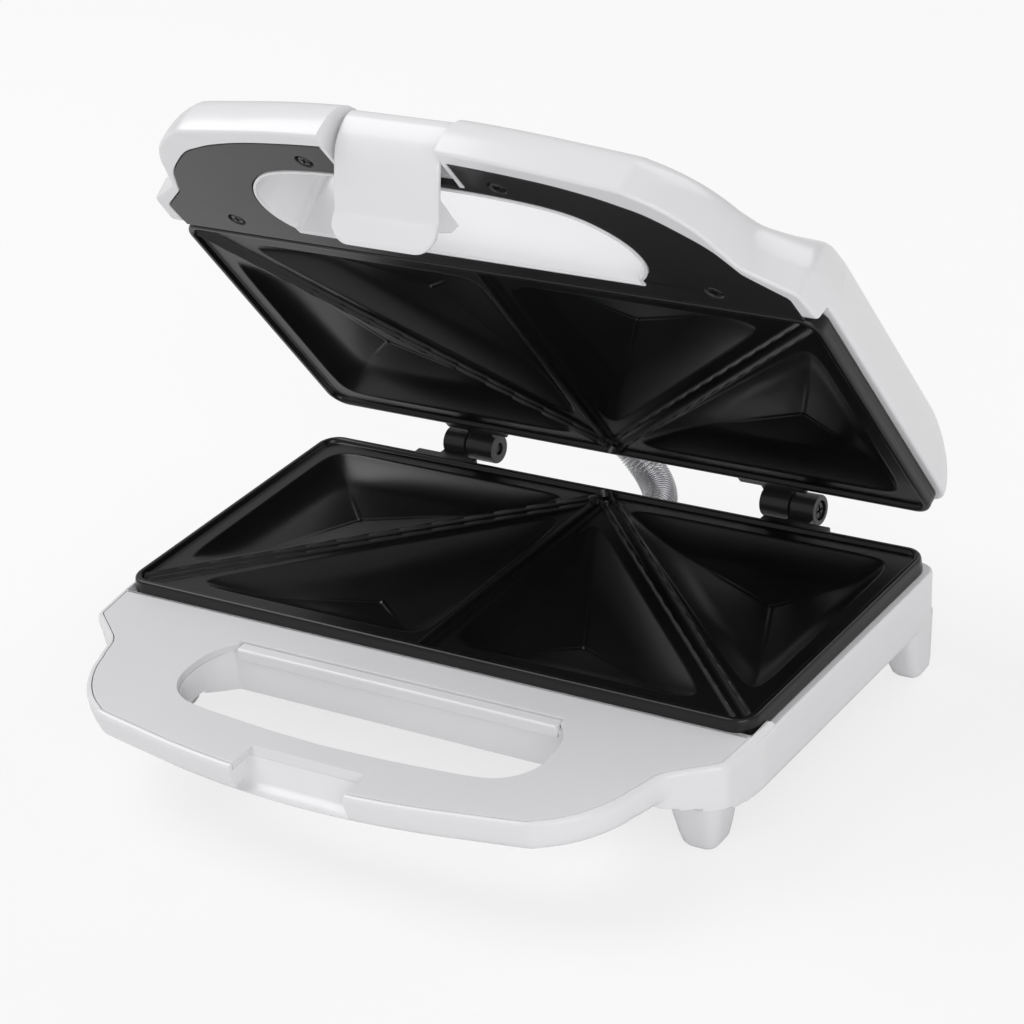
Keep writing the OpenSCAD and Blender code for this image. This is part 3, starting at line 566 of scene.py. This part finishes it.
def foot(top_box, sole_box, top):
    """A leg that narrows from one box to another, each as (x0, x1, forward0, forward1)."""
    rings = []
    for t, d in ((0, 0), (0.25, 0), (0.5, 0), (0.8, 0), (0.93, 0.25), (0.98, 0.9), (1.0, 2.0)):
        x0, x1, v0, v1 = [a + (b - a) * t for a, b in zip(top_box, sole_box)]
        a = np.arange(FOOT_SIDES) * 2 * math.pi / FOOT_SIDES
        c, s = np.cos(a), np.sin(a)
        k = 2 / FOOT_SQUARENESS
        x = (x0 + x1) / 2 + ((x1 - x0) / 2 - d) * np.sign(c) * np.abs(c) ** k
        y = -(v0 + v1) / 2 + ((v1 - v0) / 2 - d) * np.sign(s) * np.abs(s) ** k
        rings.append(level_ring(np.column_stack([x, y]), top + (SOLE_Z - top) * t))
    return loft(rings)


def notch_cut(clearance):
    """What is cut from the front of the base's handle, where the latch comes down."""
    front, back = -HANDLE_FRONT, 12.6 - HANDLE_FRONT - clearance
    profile = [(back, 2), (back, 0), (front + 6.5, -7), (front + 4.5, -8.4), (front - 6, -8.6),
               (front - 6, 2)]
    half = NOTCH_HALF - clearance
    return loft([np.array([(x, y, z) for y, z in profile], float) for x in (-half, half)])


def plate_box(side_in, end_in, z0, z1):
    """A block of the plate's width and depth, drawn in at its sides and ends."""
    side = PLATE_W / 2 - side_in
    return solid(block(-side, side, end_in - PLATE_D, -end_in, z0, z1))


def plate_seat(z0, z1):
    """Room for a plate in a casing."""
    return plate_box(-SEAT_SIDE_GAP, -SEAT_END_GAP, z0, z1)


def rear_hole(at, radius, reach):
    """A hole through a rear wall."""
    x, z = at
    return solid(lathe([(-reach, radius), (reach, radius)], 40, "y"),
                 Matrix.Translation((x, REAR_WALL_Y, z)))


def screw_wells():
    """Wells in the underside for the plate's and the cover's screws."""
    plate_well = lathe([(-26, 3.3), (-22.35, 3.3), (-22.35, 1.6), (-20, 1.6)], 32, "z")
    cover_well = lathe([(-12, 2.5), (-9.55, 2.5), (-9.55, 1.25), (-1, 1.25)], 32, "z")
    wells = [solid(plate_well, Matrix.Translation((x, -v, 0)))
             for x in (-PLATE_SCREW_X, PLATE_SCREW_X) for v in PLATE_SCREW_V]
    wells += [solid(cover_well, BASE_DECK @ Matrix.Translation((x, -v, 0)))
              for x, v in mirrored([FRONT_SCREW, BASE_SIDE_SCREW])]
    return wells


def base_casing():
    casing = solid(upright(HANDLE, [
        (0, 1.7), (0.0, 1.25), (-0.12, 0.8), (-0.45, 0.38), (-1.0, 0.1), (-1.8, 0), (-4.5, 0.1),
        (-6.8, 0.5), (-8.4, 1.15), (-9.5, 2.1), (-10.2, 3.2), (-10.6, 4.6)]), BASE_DECK)
    front_foot = foot((89.0, 110.5, 103.5, 123.0), (93.0, 104.5, 107.5, 119.0), -17.0)
    rear_foot = foot((100.0, 116.2, -1.0, 16.5), (104.0, 113.7, 0.6, 11.2), -20.0)
    combine(casing, [solid(tray())] + solid_pair(front_foot) + solid_pair(rear_foot), "UNION")

    cover_recess = solid(upright(inset(HANDLE, 1.72), [(2, 0), (-2.25, 0)]), BASE_DECK)
    fingers = solid(upright(BASE_OPENING, [(3, -1.0), (0.2, -1.0), (-0.9, -1.0), (-1.05, -0.55),
                                           (-1.5, -0.12), (-2.2, 0), (-30, 1.2)]), BASE_DECK)
    room = plate_box(3.8, 3.8, -21.8, 5)
    notch = solid(notch_cut(0.0), BASE_DECK)
    rear = [rear_hole(BASE_CONDUIT, CONDUIT_HOLE_R, 8), rear_hole(CORD_INLET, CORD_HOLE_R, 8)]
    combine(casing, [cover_recess, fingers, room, plate_seat(-5.5, 5), notch] + rear + screw_wells(),
            "DIFFERENCE")
    finish_solid(casing, "base_casing", "base", "white_plastic", ["base_shell"], IN_BASE)


def opening_ledge():
    """The raised strip along the back of the base's opening, beside the cover."""
    profile = fillet([(-121.45, -3.0), (-121.45, -0.5), (-125.3, -0.5), (-125.3, -4.6), (-123.4, -4.6),
                      (-123.0, -3.0)], {1: 0.5, 2: 1.0, 3: 0.5})
    make("opening_ledge", prism(profile, -58.9, 58.9, 0.6), "base", "white_plastic", (),
         IN_BASE @ BASE_DECK, sharp=50)


def base_cover():
    outline = inset(HANDLE, 1.95)
    outline[:, 1] = np.minimum(outline[:, 1], -PLATE_D - 0.35)
    cover = solid(upright(outline, [(0, 0.45), (-0.1, 0.16), (-0.4, 0), (-2.2, 0)]))
    hole = solid(upright(COVER_OPENING, [(1, -0.45), (0, -0.45), (-0.1, -0.16), (-0.4, 0), (-4, 0)]))
    combine(cover, [hole, solid(notch_cut(-0.02))], "DIFFERENCE")
    finish_solid(cover, "base_deck", "base", "white_plastic", ["base_handle_cover"], IN_BASE @ BASE_DECK,
                 look="white_satin")


# ---------- lid casing ----------

LID_SIDE_RIM, LID_FRONT_RIM = 5.9, 0.4
PROFILE_RINGS = 44
CROWN_SHARE = 0.655
# How the lid rises, as (share of the way in to the crown, height)
LID_SIDE_RISE = [(0, 5.9), (0.003, 9), (0.028, 13), (0.075, 18), (0.14, 23), (0.225, 28), (0.32, 31.6),
                 (0.43, 34.4), (0.56, 36.8), (0.71, 38.6), (0.86, 39.6), (1, 40)]
LID_FRONT_RISE = [(0, 0.4), (0.001, 4.2), (0.007, 8), (0.017, 11.4), (0.034, 14.2), (0.062, 16.3),
                  (0.106, 17.8), (0.2, 19.2), (0.32, 20.9), (0.44, 23), (0.50, 25.2), (0.56, 28),
                  (0.64, 31.2), (0.72, 34), (0.80, 36.4), (0.87, 38), (0.935, 39.4), (1, 40)]


def rise(rows):
    """Rows of a rise, smoothed and spread evenly along it."""
    rows = smooth_curve(rows, 8)
    s = np.concatenate([[0], np.cumsum(np.hypot(np.diff(rows[:, 0]) * 90, np.diff(rows[:, 1])))])
    return read_line(np.linspace(0, s[-1], PROFILE_RINGS), s, rows)


def lid_skin():
    """The lid's outer form: it rises steeply at the sides, and in a step over the handle."""
    forward = -LID_OUTLINE[:, 1]
    weight = ease01((forward - 116) / 34)
    droop = -math.sin(math.radians(LID_DROOP)) * np.maximum(0, forward - PLATE_D)
    at_handle = np.clip((forward - 110.6) / 1.6, 0, 1)
    rim = LID_SIDE_RIM + (LID_FRONT_RIM - LID_SIDE_RIM + droop) * at_handle
    crown = np.column_stack([LID_OUTLINE[:, 0] * CROWN_SHARE, -np.clip(forward * 0.30 + 31, 31, 60)])
    lip = [(0.0, 1.5), (0.0, 1.05), (0.1, 0.6), (0.35, 0.22), (0.8, 0.0)]
    rings = [level_ring(inset(LID_OUTLINE, d), rim + dz) for dz, d in lip]
    for k, (side, front) in enumerate(zip(rise(LID_SIDE_RISE), rise(LID_FRONT_RISE))):
        t = side[0] * (1 - weight) + front[0] * weight
        z = side[1] * (1 - weight) + (front[1] + droop * (1 - front[0])) * weight
        z = np.maximum(z, rim + 0.02 * k)
        if np.all(z > rim + 0.85):
            rings.append(level_ring(LID_OUTLINE + (crown - LID_OUTLINE) * t[:, None], z))
    return loft(rings)


def lid_casing():
    casing = solid(lid_skin())
    panel_seat = solid(upright(LID_PANEL, [(-9, -0.55), (-0.1, -0.55), (0.12, -0.3), (0.45, -0.14),
                                           (2.25, -0.14)]), LID_DECK)
    combine(casing, [panel_seat], "DIFFERENCE")

    collar = solid(upright(LID_OPENING, [(-0.25, -1.0), (-0.18, -1.3), (0.1, -1.45), (6, -1.45)]), LID_DECK)
    cheek = block(LATCH_ROOM_HALF - 0.1, LATCH_ROOM_HALF + 1.4, -173.0, -160.5, -0.3, 9.0)
    combine(casing, [collar] + solid_pair(cheek, LID_DECK), "UNION")

    fingers = solid(upright(LID_OPENING, [(-4, -0.5), (0, -0.5), (0.2, -0.2), (0.6, 0), (12, 0.5),
                                          (45, 0.6)]), LID_DECK)
    room = plate_box(6.5, 4.5, 0, 22)
    latch_gap = solid(block(-LATCH_ROOM_HALF, LATCH_ROOM_HALF, -FAR, -162.5, -20, 40))
    lens_hole = lathe([(34, LENS_HOLE_R), (44, LENS_HOLE_R)], 32, "z")
    lens_holes = [solid(lens_hole, Matrix.Translation((x, -LENS_V, 0))) for x in (-LENS_X, LENS_X)]
    combine(casing, [fingers, room, plate_seat(-3, LID_SIDE_RIM), latch_gap,
                     rear_hole(LID_CONDUIT, CONDUIT_HOLE_R, 10)] + lens_holes, "DIFFERENCE")
    finish_solid(casing, "lid_casing", "lid", "white_plastic", ["lid_shell"], IN_LID)


def lid_cover():
    cover = solid(upright(LID_PANEL, [(0, 0.4), (0.1, 0.14), (0.35, 0), (2.2, 0)]))
    hole = solid(upright(inset(LID_OPENING, -1.75), [(-1, -0.35), (0, -0.35), (0.1, -0.12), (0.35, 0),
                                                     (4, 0)]))
    gap_half = LATCH_ROOM_HALF + 1.5
    latch_gap = solid(block(-gap_half, gap_half, -FAR, -160.4, -9, 9))
    well = lathe([(-1, 3.1), (0.05, 3.1), (0.35, 2.75), (1.0, 2.5)], 32, "z")
    wells = [solid(well, Matrix.Translation((x, -v, 0)))
             for x, v in mirrored([FRONT_SCREW, LID_SHOULDER_SCREW])]
    combine(cover, [hole, latch_gap] + wells, "DIFFERENCE")
    finish_solid(cover, "lid_handle_panel", "lid", "black_plastic", ["lid_handle_cover"], IN_LID @ LID_DECK)


# ---------- screws ----------

def screw_head(r, t, cross=0.75):
    """A domed head with a cross recess, seat at z = 0 and top at z = t."""
    head = solid(lathe([(0, r), (t * 0.45, r), (t * 0.75, r * 0.93), (t * 0.93, r * 0.75), (t, r * 0.4)],
                       32, "z"))
    arm, half = r * 0.62, cross / 2
    cross_cut = [solid(block(-arm, arm, -half, half, t * 0.35, t * 2)),
                 solid(block(-half, half, -arm, arm, t * 0.35, t * 2))]
    return taken(combine(head, cross_cut, "DIFFERENCE"))


def lid_screws():
    head = screw_head(2.3, 0.9)
    down = Matrix.Diagonal((1, 1, -1, 1))
    heads = []
    for x, v in mirrored([FRONT_SCREW, LID_SHOULDER_SCREW]):
        turned = Matrix.Translation((x, -v, 1.0)) @ Matrix.Rotation(0.4 * x, 4, "Z") @ down
        heads.append(moved(head, matrix=turned))
    make("lid_panel_screws", joined(heads), "lid", "screw_black", ["lid_handle_screws"], IN_LID @ LID_DECK)


# ---------- plates ----------

FACE_EDGE = 3.2
POCKET_ROUNDING = 3.4
POCKET_SLOPE = 11.0
GRID_X, GRID_V = 520, 250
FLOOR_INSET, FLOOR_Z, UNDERSIDE_Z = 4.0, -10.5, -12.0


def triangle_depth(x, v, corners):
    """Rounded distance in from a triangle's edges, and the three plain distances."""
    c = [np.array(p, float) for p in corners]
    mid = sum(c) / 3
    dist = []
    for i in range(3):
        a, b = c[i], c[(i + 1) % 3]
        e = (b - a) / np.linalg.norm(b - a)
        n = np.array([-e[1], e[0]])
        if n @ (mid - a) < 0:
            n = -n
        dist.append((x - a[0]) * n[0] + (v - a[1]) * n[1])
    soft = -POCKET_ROUNDING * np.log(sum(np.exp(-np.clip(d, -60, 200) / POCKET_ROUNDING) for d in dist))
    return soft, dist


def segment_distance(x, v, a, b):
    """Distance from points to the line between a and b."""
    a, b = np.array(a, float), np.array(b, float)
    e = b - a
    t = np.clip(((x - a[0]) * e[0] + (v - a[1]) * e[1]) / (e @ e), 0, 1)
    return np.hypot(x - a[0] - t * e[0], v - a[1] - t * e[1])


def plate_surface(x, v):
    """Height of the plate's face inside its rim; v runs forward from the back edge."""
    back, front = FACE_EDGE, PLATE_D - FACE_EDGE
    ax = np.abs(x)
    z = np.full(x.shape, LEDGE)
    # The corners and the deepest point of each pocket on the right
    pockets = (
        (((7.5, back + 4.6), (PLATE_W / 2 - 8.2, back + 4.6), (PLATE_W / 2 - 8.2, front - 12.5)),
         (78.2, 34.7)),
        (((4.8, back + 14.5), (PLATE_W / 2 - 18.5, front - 4.8), (4.8, front - 4.8)), (37.9, 77.8)))
    for corners, apex in pockets:
        soft, dist = triangle_depth(ax, v, corners)
        at = [d[0] for d in triangle_depth(np.array([apex[0]]), np.array([apex[1]]), corners)[1]]
        near = np.clip(np.min([d / a for d, a in zip(dist, at)], axis=0), 0, 1)
        wall = 1 - (1 - np.clip(soft / POCKET_SLOPE, 0, 1)) ** 2.2
        deep = (POCKET_DEPTH + LEDGE - 0.1) * (0.62 * wall + 0.38 * wall * near ** 1.25)
        z = np.where(soft > 0, LEDGE - deep, z)
        # A thin bead along each fold of the floor, which fades away from the deepest point
        for c in corners:
            far = math.hypot(c[0] - apex[0], c[1] - apex[1])
            gone = np.hypot(ax - apex[0], v - apex[1]) / far
            fold = np.exp(-(segment_distance(ax, v, apex, c) / 0.42) ** 2) * ease01((0.52 - gone) / 0.42)
            z = z + 0.34 * fold * (soft > 0)
    # Two thin ridges on either side of each divider's groove
    meeting = (0.0, back + 1.5)
    for far_end in ((PLATE_W / 2 - 4.0, front - 0.8), (0.0, front)):
        t = segment_distance(ax, v, far_end, meeting)
        z = z + 1.2 * np.exp(-((t - 2.1) / 0.5) ** 2) - 0.4 * np.exp(-(t / 1.1) ** 2)
    return z


def plate_ring(k, z):
    """A ring round the plate, drawn in by k from its edge."""
    r = PLATE_CORNER_R - k
    cx, cy = PLATE_W / 2 - k - r, PLATE_D / 2 - k - r
    p = []
    for sx, sy, start in ((1, 1, 0), (-1, 1, 90), (-1, -1, 180), (1, -1, 270)):
        for a in np.radians(np.linspace(start, start + 90, 13)):
            p.append((sx * cx + r * math.cos(a), sy * cy + r * math.sin(a) - PLATE_D / 2))
    return level_ring(np.array(p), z)


def plate_face():
    """The pocketed face as a fine grid, whose corners are drawn in to follow the rim."""
    xs = np.linspace(3.0 - PLATE_W / 2, PLATE_W / 2 - 3.0, GRID_X)
    vs = np.linspace(3.0, PLATE_D - 3.0, GRID_V)
    gx, gv = np.meshgrid(xs, vs)
    middle = PLATE_D / 2
    cx, cy = PLATE_W / 2 - 7.2, middle - 7.2
    ox, oy = np.maximum(np.abs(gx) - cx, 0), np.maximum(np.abs(gv - middle) - cy, 0)
    pull = np.where((ox > 0) & (oy > 0), np.maximum(ox, oy) / np.maximum(np.hypot(ox, oy), 1e-9), 1.0)
    gx = np.sign(gx) * (np.minimum(np.abs(gx), cx) + ox * pull)
    gv = middle + np.sign(gv - middle) * (np.minimum(np.abs(gv - middle), cy) + oy * pull)
    verts = np.column_stack([gx.ravel(), -gv.ravel(), plate_surface(gx, gv).ravel()])
    idx = np.arange(GRID_X * GRID_V).reshape(GRID_V, GRID_X)
    corners = (idx[:-1, :-1], idx[1:, :-1], idx[1:, 1:], idx[:-1, 1:])
    return verts, np.column_stack([c.ravel() for c in corners]).tolist()


def plate_mesh():
    """Heat plate: a rim lofted round its edge, the face, and a floor and wall below."""
    rim = loft([plate_ring(k, z) for z, k in (
        (-10.5, 4.0), (-5.6, 4.0), (-5.5, 0.5), (-5.3, 0.12), (-4.9, 0.0), (-3.3, 0.0), (-3.0, 0.12),
        (-2.7, 0.12), (-1.2, 0.15), (-0.55, 0.32), (-0.18, 0.62), (0.0, 1.05), (0.0, 1.75),
        (-0.15, 2.15), (-0.5, 2.45), (-1.15, 2.65), (LEDGE + 0.06, 2.95), (LEDGE + 0.01, 3.4),
        (LEDGE - 0.03, 4.4))], caps=False)
    underside = plate_ring(FLOOR_INSET, UNDERSIDE_Z)
    floor = (underside, [tuple(range(len(underside) - 1, -1, -1))])
    wall = loft([underside, plate_ring(FLOOR_INSET, FLOOR_Z)], caps=False)
    return joined([rim, plate_face(), floor, wall])


def plates():
    plate = plate_mesh()
    make("lower_plate", plate, "base", "black_plate", ["base_plate"], IN_BASE, sharp=60)
    make("upper_plate", plate, "lid", "black_plate", ["lid_plate"], IN_LID @ FLIP, sharp=60)


# ---------- hinges ----------

LEAF_SCREW_IN = 3.0


def bracket(barrel, leaf, z, bore):
    """One hinge bracket: a bored barrel, and a web to the leaf on the casing."""
    x0, x1 = barrel
    y, r, e = HINGE_BACK, BARREL_R, 0.5
    round_part = lathe([(x0, r - e), (x0 + e * 0.3, r - e * 0.3), (x0 + e, r), (x1 - e, r),
                        (x1 - e * 0.3, r - e * 0.3), (x1, r - e)], 44, "x")
    b = solid(moved(round_part, dy=y, dz=z))
    web = solid(prism([(1, -1.0), (y - 2, -1.0 + z), (y - 2, -4.6 + z), (1, -4.6)], x0 + 0.2, x1 - 0.2))
    plate = solid(prism([(0.02, -0.5), (2.4, -0.5), (2.4, -5.1), (0.02, -5.1)], leaf[0], leaf[1], 0.45))
    combine(b, [web, plate], "UNION")
    combine(b, [solid(moved(lathe([(x0 - 1, bore), (x1 + 1, bore)], 32, "x"), dy=y, dz=z))], "DIFFERENCE")
    return taken(b)


def leaf_screws(leaf):
    head = screw_head(1.85, 1.1, 0.55)
    back = Matrix.Rotation(math.radians(-90), 4, "X")
    return both_sides(joined([moved(head, matrix=Matrix.Translation((x, 2.4, -2.85)) @ back)
                              for x in (leaf[0] + LEAF_SCREW_IN, leaf[1] - LEAF_SCREW_IN)]))


def hinges():
    make("hinge_barrels", both_sides(bracket(BASE_BARREL, BASE_LEAF, 0.0, 3.3)), "base", "hinge_black",
         ["base_hinge_brackets"], IN_BASE)
    make("hinge_knuckles", both_sides(bracket(LID_BARREL, LID_LEAF, RIM_GAP, 2.1)), "lid", "hinge_black",
         ["lid_hinge_brackets"], IN_LID @ FLIP)
    out = Matrix.Translation((69.3, HINGE_BACK, 0)) @ Matrix.Rotation(math.radians(90), 4, "Y")
    pin = joined([moved(screw_head(3.1, 1.5, 0.9), matrix=out),
                  moved(lathe([(52.3, 1.9), (69.4, 1.9)], 28, "x"), dy=HINGE_BACK)])
    make("hinge_pin_pair", both_sides(pin), "base", "screw_black", ["hinge_pins"], IN_BASE)
    make("base_leaf_screws", leaf_screws(BASE_LEAF), "base", "screw_black", ["base_hinge_screws"], IN_BASE)
    make("lid_leaf_screws", leaf_screws(LID_LEAF), "lid", "screw_black", ["lid_hinge_screws"],
         IN_LID @ FLIP)


# ---------- latch ----------

LATCH_STATIONS, LATCH_END_BEVEL, LATCH_LEAST_SHEET = 52, 0.9, 0.08


def latch_sheet():
    """The bent sheet, as rings across it: round over the pivot, straight down, then a flared lip."""
    line = np.vstack([
        smooth_curve([(1.5, 4.1), (-1.4, 4.3), (-4.2, 3.0), (-6.6, 0.2), (-8.6, -3.4), (-9.5, -7.0),
                      (-9.75, -12), (-9.85, -18), (-9.85, -23.2)], 8),
        smooth_curve([(-10.2, -23.6), (-11.0, -25.4), (-12.1, -28.7), (-13.0, -32.0)], 6)])
    way = np.gradient(line, axis=0)
    inward = unit(np.column_stack([-way[:, 1], way[:, 0]]))
    length = along_line(line)
    half, r = LATCH_W / 2, LATCH_CORNER_R
    # Distance in from a side, and how much thinner the sheet is there
    bevel = ((0, 0.75), (0.12, 0.42), (0.4, 0.12), (0.9, 0.0))
    stations = [(-half + d, thin) for d, thin in bevel]
    stations += [(x, 0.0) for x in np.linspace(-half + 1.6, half - 1.6, 40)]
    stations += [(half - d, thin) for d, thin in reversed(bevel)]
    rings = []
    for x, thin in stations:
        into_corner = max(0.0, abs(x) - (half - r))
        end = length[-1] - (r - math.sqrt(max(0.0, r * r - into_corner ** 2)))
        s = np.linspace(0, end, LATCH_STATIONS)
        b = unit(read_line(s, length, inward))
        edge = np.minimum(1, np.minimum(s, end - s) / LATCH_END_BEVEL)
        thick = np.maximum(LATCH_LEAST_SHEET, LATCH_HALF_SHEET - thin - 0.62 * (1 - edge) ** 2)[:, None]
        mid = read_line(s, length, line) + b * LATCH_HALF_SHEET
        ring = np.vstack([mid - b * thick, (mid + b * thick)[::-1]])
        rings.append(np.column_stack([np.full(len(ring), x), ring]))
    return loft(rings)


def latch():
    half = LATCH_W / 2
    flap = solid(latch_sheet())
    r = LATCH_HUB_R
    circle = [(r * math.cos(a), r * math.sin(a)) for a in np.radians(np.arange(0, 360, 9))]
    hub = prism(circle, -half + 0.8, half - 0.8)
    rib = [(-8.9, -15.5), (0.9, -25.4), (-2.8, -26.8), (-8.9, -25.8)]
    ribs = [solid(prism(rib, x, x + 1.8, 0.3)) for x in (-half + 0.1, half - 1.9)]
    combine(flap, [solid(hub)] + ribs, "UNION")
    combine(flap, [solid(lathe([(-30, LATCH_BORE_R), (30, LATCH_BORE_R)], 28, "x"))], "DIFFERENCE")
    at = (IN_LID @ Matrix.Translation((0, *LATCH_PIVOT))
          @ Matrix.Rotation(math.radians(LATCH_SWING), 4, "X"))
    finish_solid(flap, "latch_flap", "latch", "white_plastic", ["latch"], at)


# ---------- conduit spring ----------

ROUTE_STEP = 0.1
COIL_STEPS, WIRE_SIDES = 18, 8


def spring():
    """A coil of wire that comes straight out of each casing and bends in between."""
    angle = math.radians(LID_OPEN)
    c, s = math.cos(angle), math.sin(angle)
    out = np.array([0, c, -s])
    straight = CONDUIT_D
    lid_x, lid_z = LID_CONDUIT
    base_x, base_z = BASE_CONDUIT
    lid_exit = np.array([lid_x, HINGE_Y + (CONDUIT_FLANGE - HINGE_BACK) * c + lid_z * s,
                         BASE_H - (CONDUIT_FLANGE - HINGE_BACK) * s + lid_z * c])
    base_in = np.array([base_x, PLATE_BACK_Y + CONDUIT_FLANGE, BASE_H + base_z])
    b = [lid_exit + straight * out, lid_exit + (straight + CONDUIT_STIFFNESS) * out,
         base_in + (0, straight + CONDUIT_STIFFNESS, 0), base_in + (0, straight, 0)]
    t = np.linspace(0, 1, 160)[:, None]
    bend = (1 - t) ** 3 * b[0] + 3 * t * (1 - t) ** 2 * b[1] + 3 * t * t * (1 - t) * b[2] + t ** 3 * b[3]
    route = even(np.vstack([lid_exit, bend, base_in]), ROUTE_STEP)
    way = unit(np.gradient(route, axis=0))
    u = unit(np.array([1.0, 0, 0]) - way * way[:, :1])
    w = np.cross(way, u)

    turns = (len(route) * ROUTE_STEP - CONDUIT_WIRE) / CONDUIT_PITCH
    k = np.arange(int(turns * COIL_STEPS) + 1) / COIL_STEPS
    at = CONDUIT_WIRE / 2 + k * CONDUIT_PITCH
    centre, side, up = [read_line(at, np.arange(len(route)) * ROUTE_STEP, m) for m in (route, u, w)]
    a = 2 * math.pi * k[:, None]
    radial = np.cos(a) * side + np.sin(a) * up
    wire = centre + (CONDUIT_D - CONDUIT_WIRE) / 2 * radial
    along = unit(np.gradient(wire, axis=0))
    radial = unit(radial - along * np.sum(radial * along, axis=1)[:, None])
    third = np.cross(along, radial)
    q = (np.arange(WIRE_SIDES) * 2 * math.pi / WIRE_SIDES)[:, None]
    rings = [wire[i] + CONDUIT_WIRE / 2 * (np.cos(q) * radial[i] + np.sin(q) * third[i])
             for i in range(len(wire))]
    o = make("conduit_coil", loft(rings), None, "spring_steel", (), SCALE, sharp=60)
    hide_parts("conduit_spring")
    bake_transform(o)


# ---------- nodes that keep their CAD shape ----------

def keep_cad():
    slots = {s["node"]: s["material_slot"] for s in frame["record"]["subparts"]}
    for name, o in frame["nodes"].items():
        if o.hide_render:
            continue
        o.data.materials.clear()
        o.data.materials.append(MATERIALS[slots[name]])


# ---------- stage, in metres ----------

WORLD_ON_THE_PART, WORLD_SEEN = 0.44, 1.0
FLOOR_HALF, FLOOR_GLOW = 6.0, 0.72
AIM_HEIGHT = 0.08
# Each lamp as (name, place, size, watts)
LAMPS = (("key", (-0.95, -0.1, 1.2), 1.0, 10.0), ("fill", (0.95, -0.95, 0.60), 0.9, 6.4),
         ("back", (0.35, 1.05, 0.95), 0.8, 3.0))
CAMERA_AT = (0.5477, -0.702946, 0.5208)
CAMERA_RIGHT, CAMERA_UP = (0.8249, 0.5528, -0.1182), (-0.1677, 0.4390, 0.8827)
CAMERA_BACK = (0.5399, -0.7083, 0.4548)
LENS, SENSOR = 115.38, 36.0


def link_new(name, data):
    o = bpy.data.objects.new(name, data)
    bpy.context.scene.collection.objects.link(o)
    return o


def white_world():
    """White to the camera, and a dimmer light on the part."""
    world = bpy.data.worlds.new("studio")
    bpy.context.scene.world = world
    world.use_nodes = True
    nt = world.node_tree
    bg = nt.nodes["Background"]
    bg.inputs["Color"].default_value = (1, 1, 1, 1)
    path = nt.nodes.new("ShaderNodeLightPath")
    seen = nt.nodes.new("ShaderNodeMath")
    seen.operation = "MAXIMUM"
    nt.links.new(path.outputs["Is Camera Ray"], seen.inputs[0])
    nt.links.new(path.outputs["Is Transmission Ray"], seen.inputs[1])
    level = nt.nodes.new("ShaderNodeMapRange")
    level.inputs["To Min"].default_value = WORLD_ON_THE_PART
    level.inputs["To Max"].default_value = WORLD_SEEN
    nt.links.new(seen.outputs[0], level.inputs["Value"])
    nt.links.new(level.outputs["Result"], bg.inputs["Strength"])


def floor_material():
    """Pale and matt, and partly glowing to the camera, so that shadows stay and the rest is white."""
    m = bpy.data.materials.new("floor")
    m.use_nodes = True
    t = m.node_tree
    shader = t.nodes["Principled BSDF"]
    shader.inputs["Base Color"].default_value = (0.9, 0.9, 0.9, 1)
    shader.inputs["Roughness"].default_value = 0.9
    shader.inputs["Specular IOR Level"].default_value = 0.0
    glow = t.nodes.new("ShaderNodeEmission")
    glow.inputs["Strength"].default_value = 1.0
    mix = t.nodes.new("ShaderNodeMixShader")
    ray = t.nodes.new("ShaderNodeLightPath")
    share = t.nodes.new("ShaderNodeMath")
    share.operation = "MULTIPLY"
    share.inputs[1].default_value = FLOOR_GLOW
    t.links.new(ray.outputs["Is Camera Ray"], share.inputs[0])
    t.links.new(share.outputs[0], mix.inputs["Fac"])
    t.links.new(shader.outputs[0], mix.inputs[1])
    t.links.new(glow.outputs[0], mix.inputs[2])
    t.links.new(mix.outputs[0], t.nodes["Material Output"].inputs["Surface"])
    return m


def lay_floor():
    mesh = bpy.data.meshes.new("floor")
    r = FLOOR_HALF
    mesh.from_pydata([(-r, -r, 0), (r, -r, 0), (r, r, 0), (-r, r, 0)], [], [(0, 1, 2, 3)])
    floor = link_new("floor", mesh)
    mesh.materials.append(floor_material())


def hang_lamps():
    for name, at, size, power in LAMPS:
        light = bpy.data.lights.new(name, "AREA")
        light.energy = power
        light.size = size
        o = link_new(name, light)
        o.location = at
        aim = Vector((0, 0, AIM_HEIGHT)) - Vector(at)
        o.rotation_euler = aim.to_track_quat("-Z", "Y").to_euler()


def set_camera():
    cam = bpy.data.cameras.new("camera")
    cam.lens, cam.sensor_width = LENS, SENSOR
    cam.clip_start, cam.clip_end = 0.05, 30.0
    o = link_new("camera", cam)
    rows = zip(CAMERA_RIGHT, CAMERA_UP, CAMERA_BACK, CAMERA_AT)
    o.matrix_world = Matrix([*rows, (0, 0, 0, 1)])
    bpy.context.scene.camera = o
    bpy.context.scene.view_settings.view_transform = "Standard"


white_world()
lay_floor()
hang_lamps()
set_camera()
base_casing()
opening_ledge()
base_cover()
lid_casing()
lid_cover()
lid_screws()
plates()
hinges()
latch()
spring()
keep_cad()
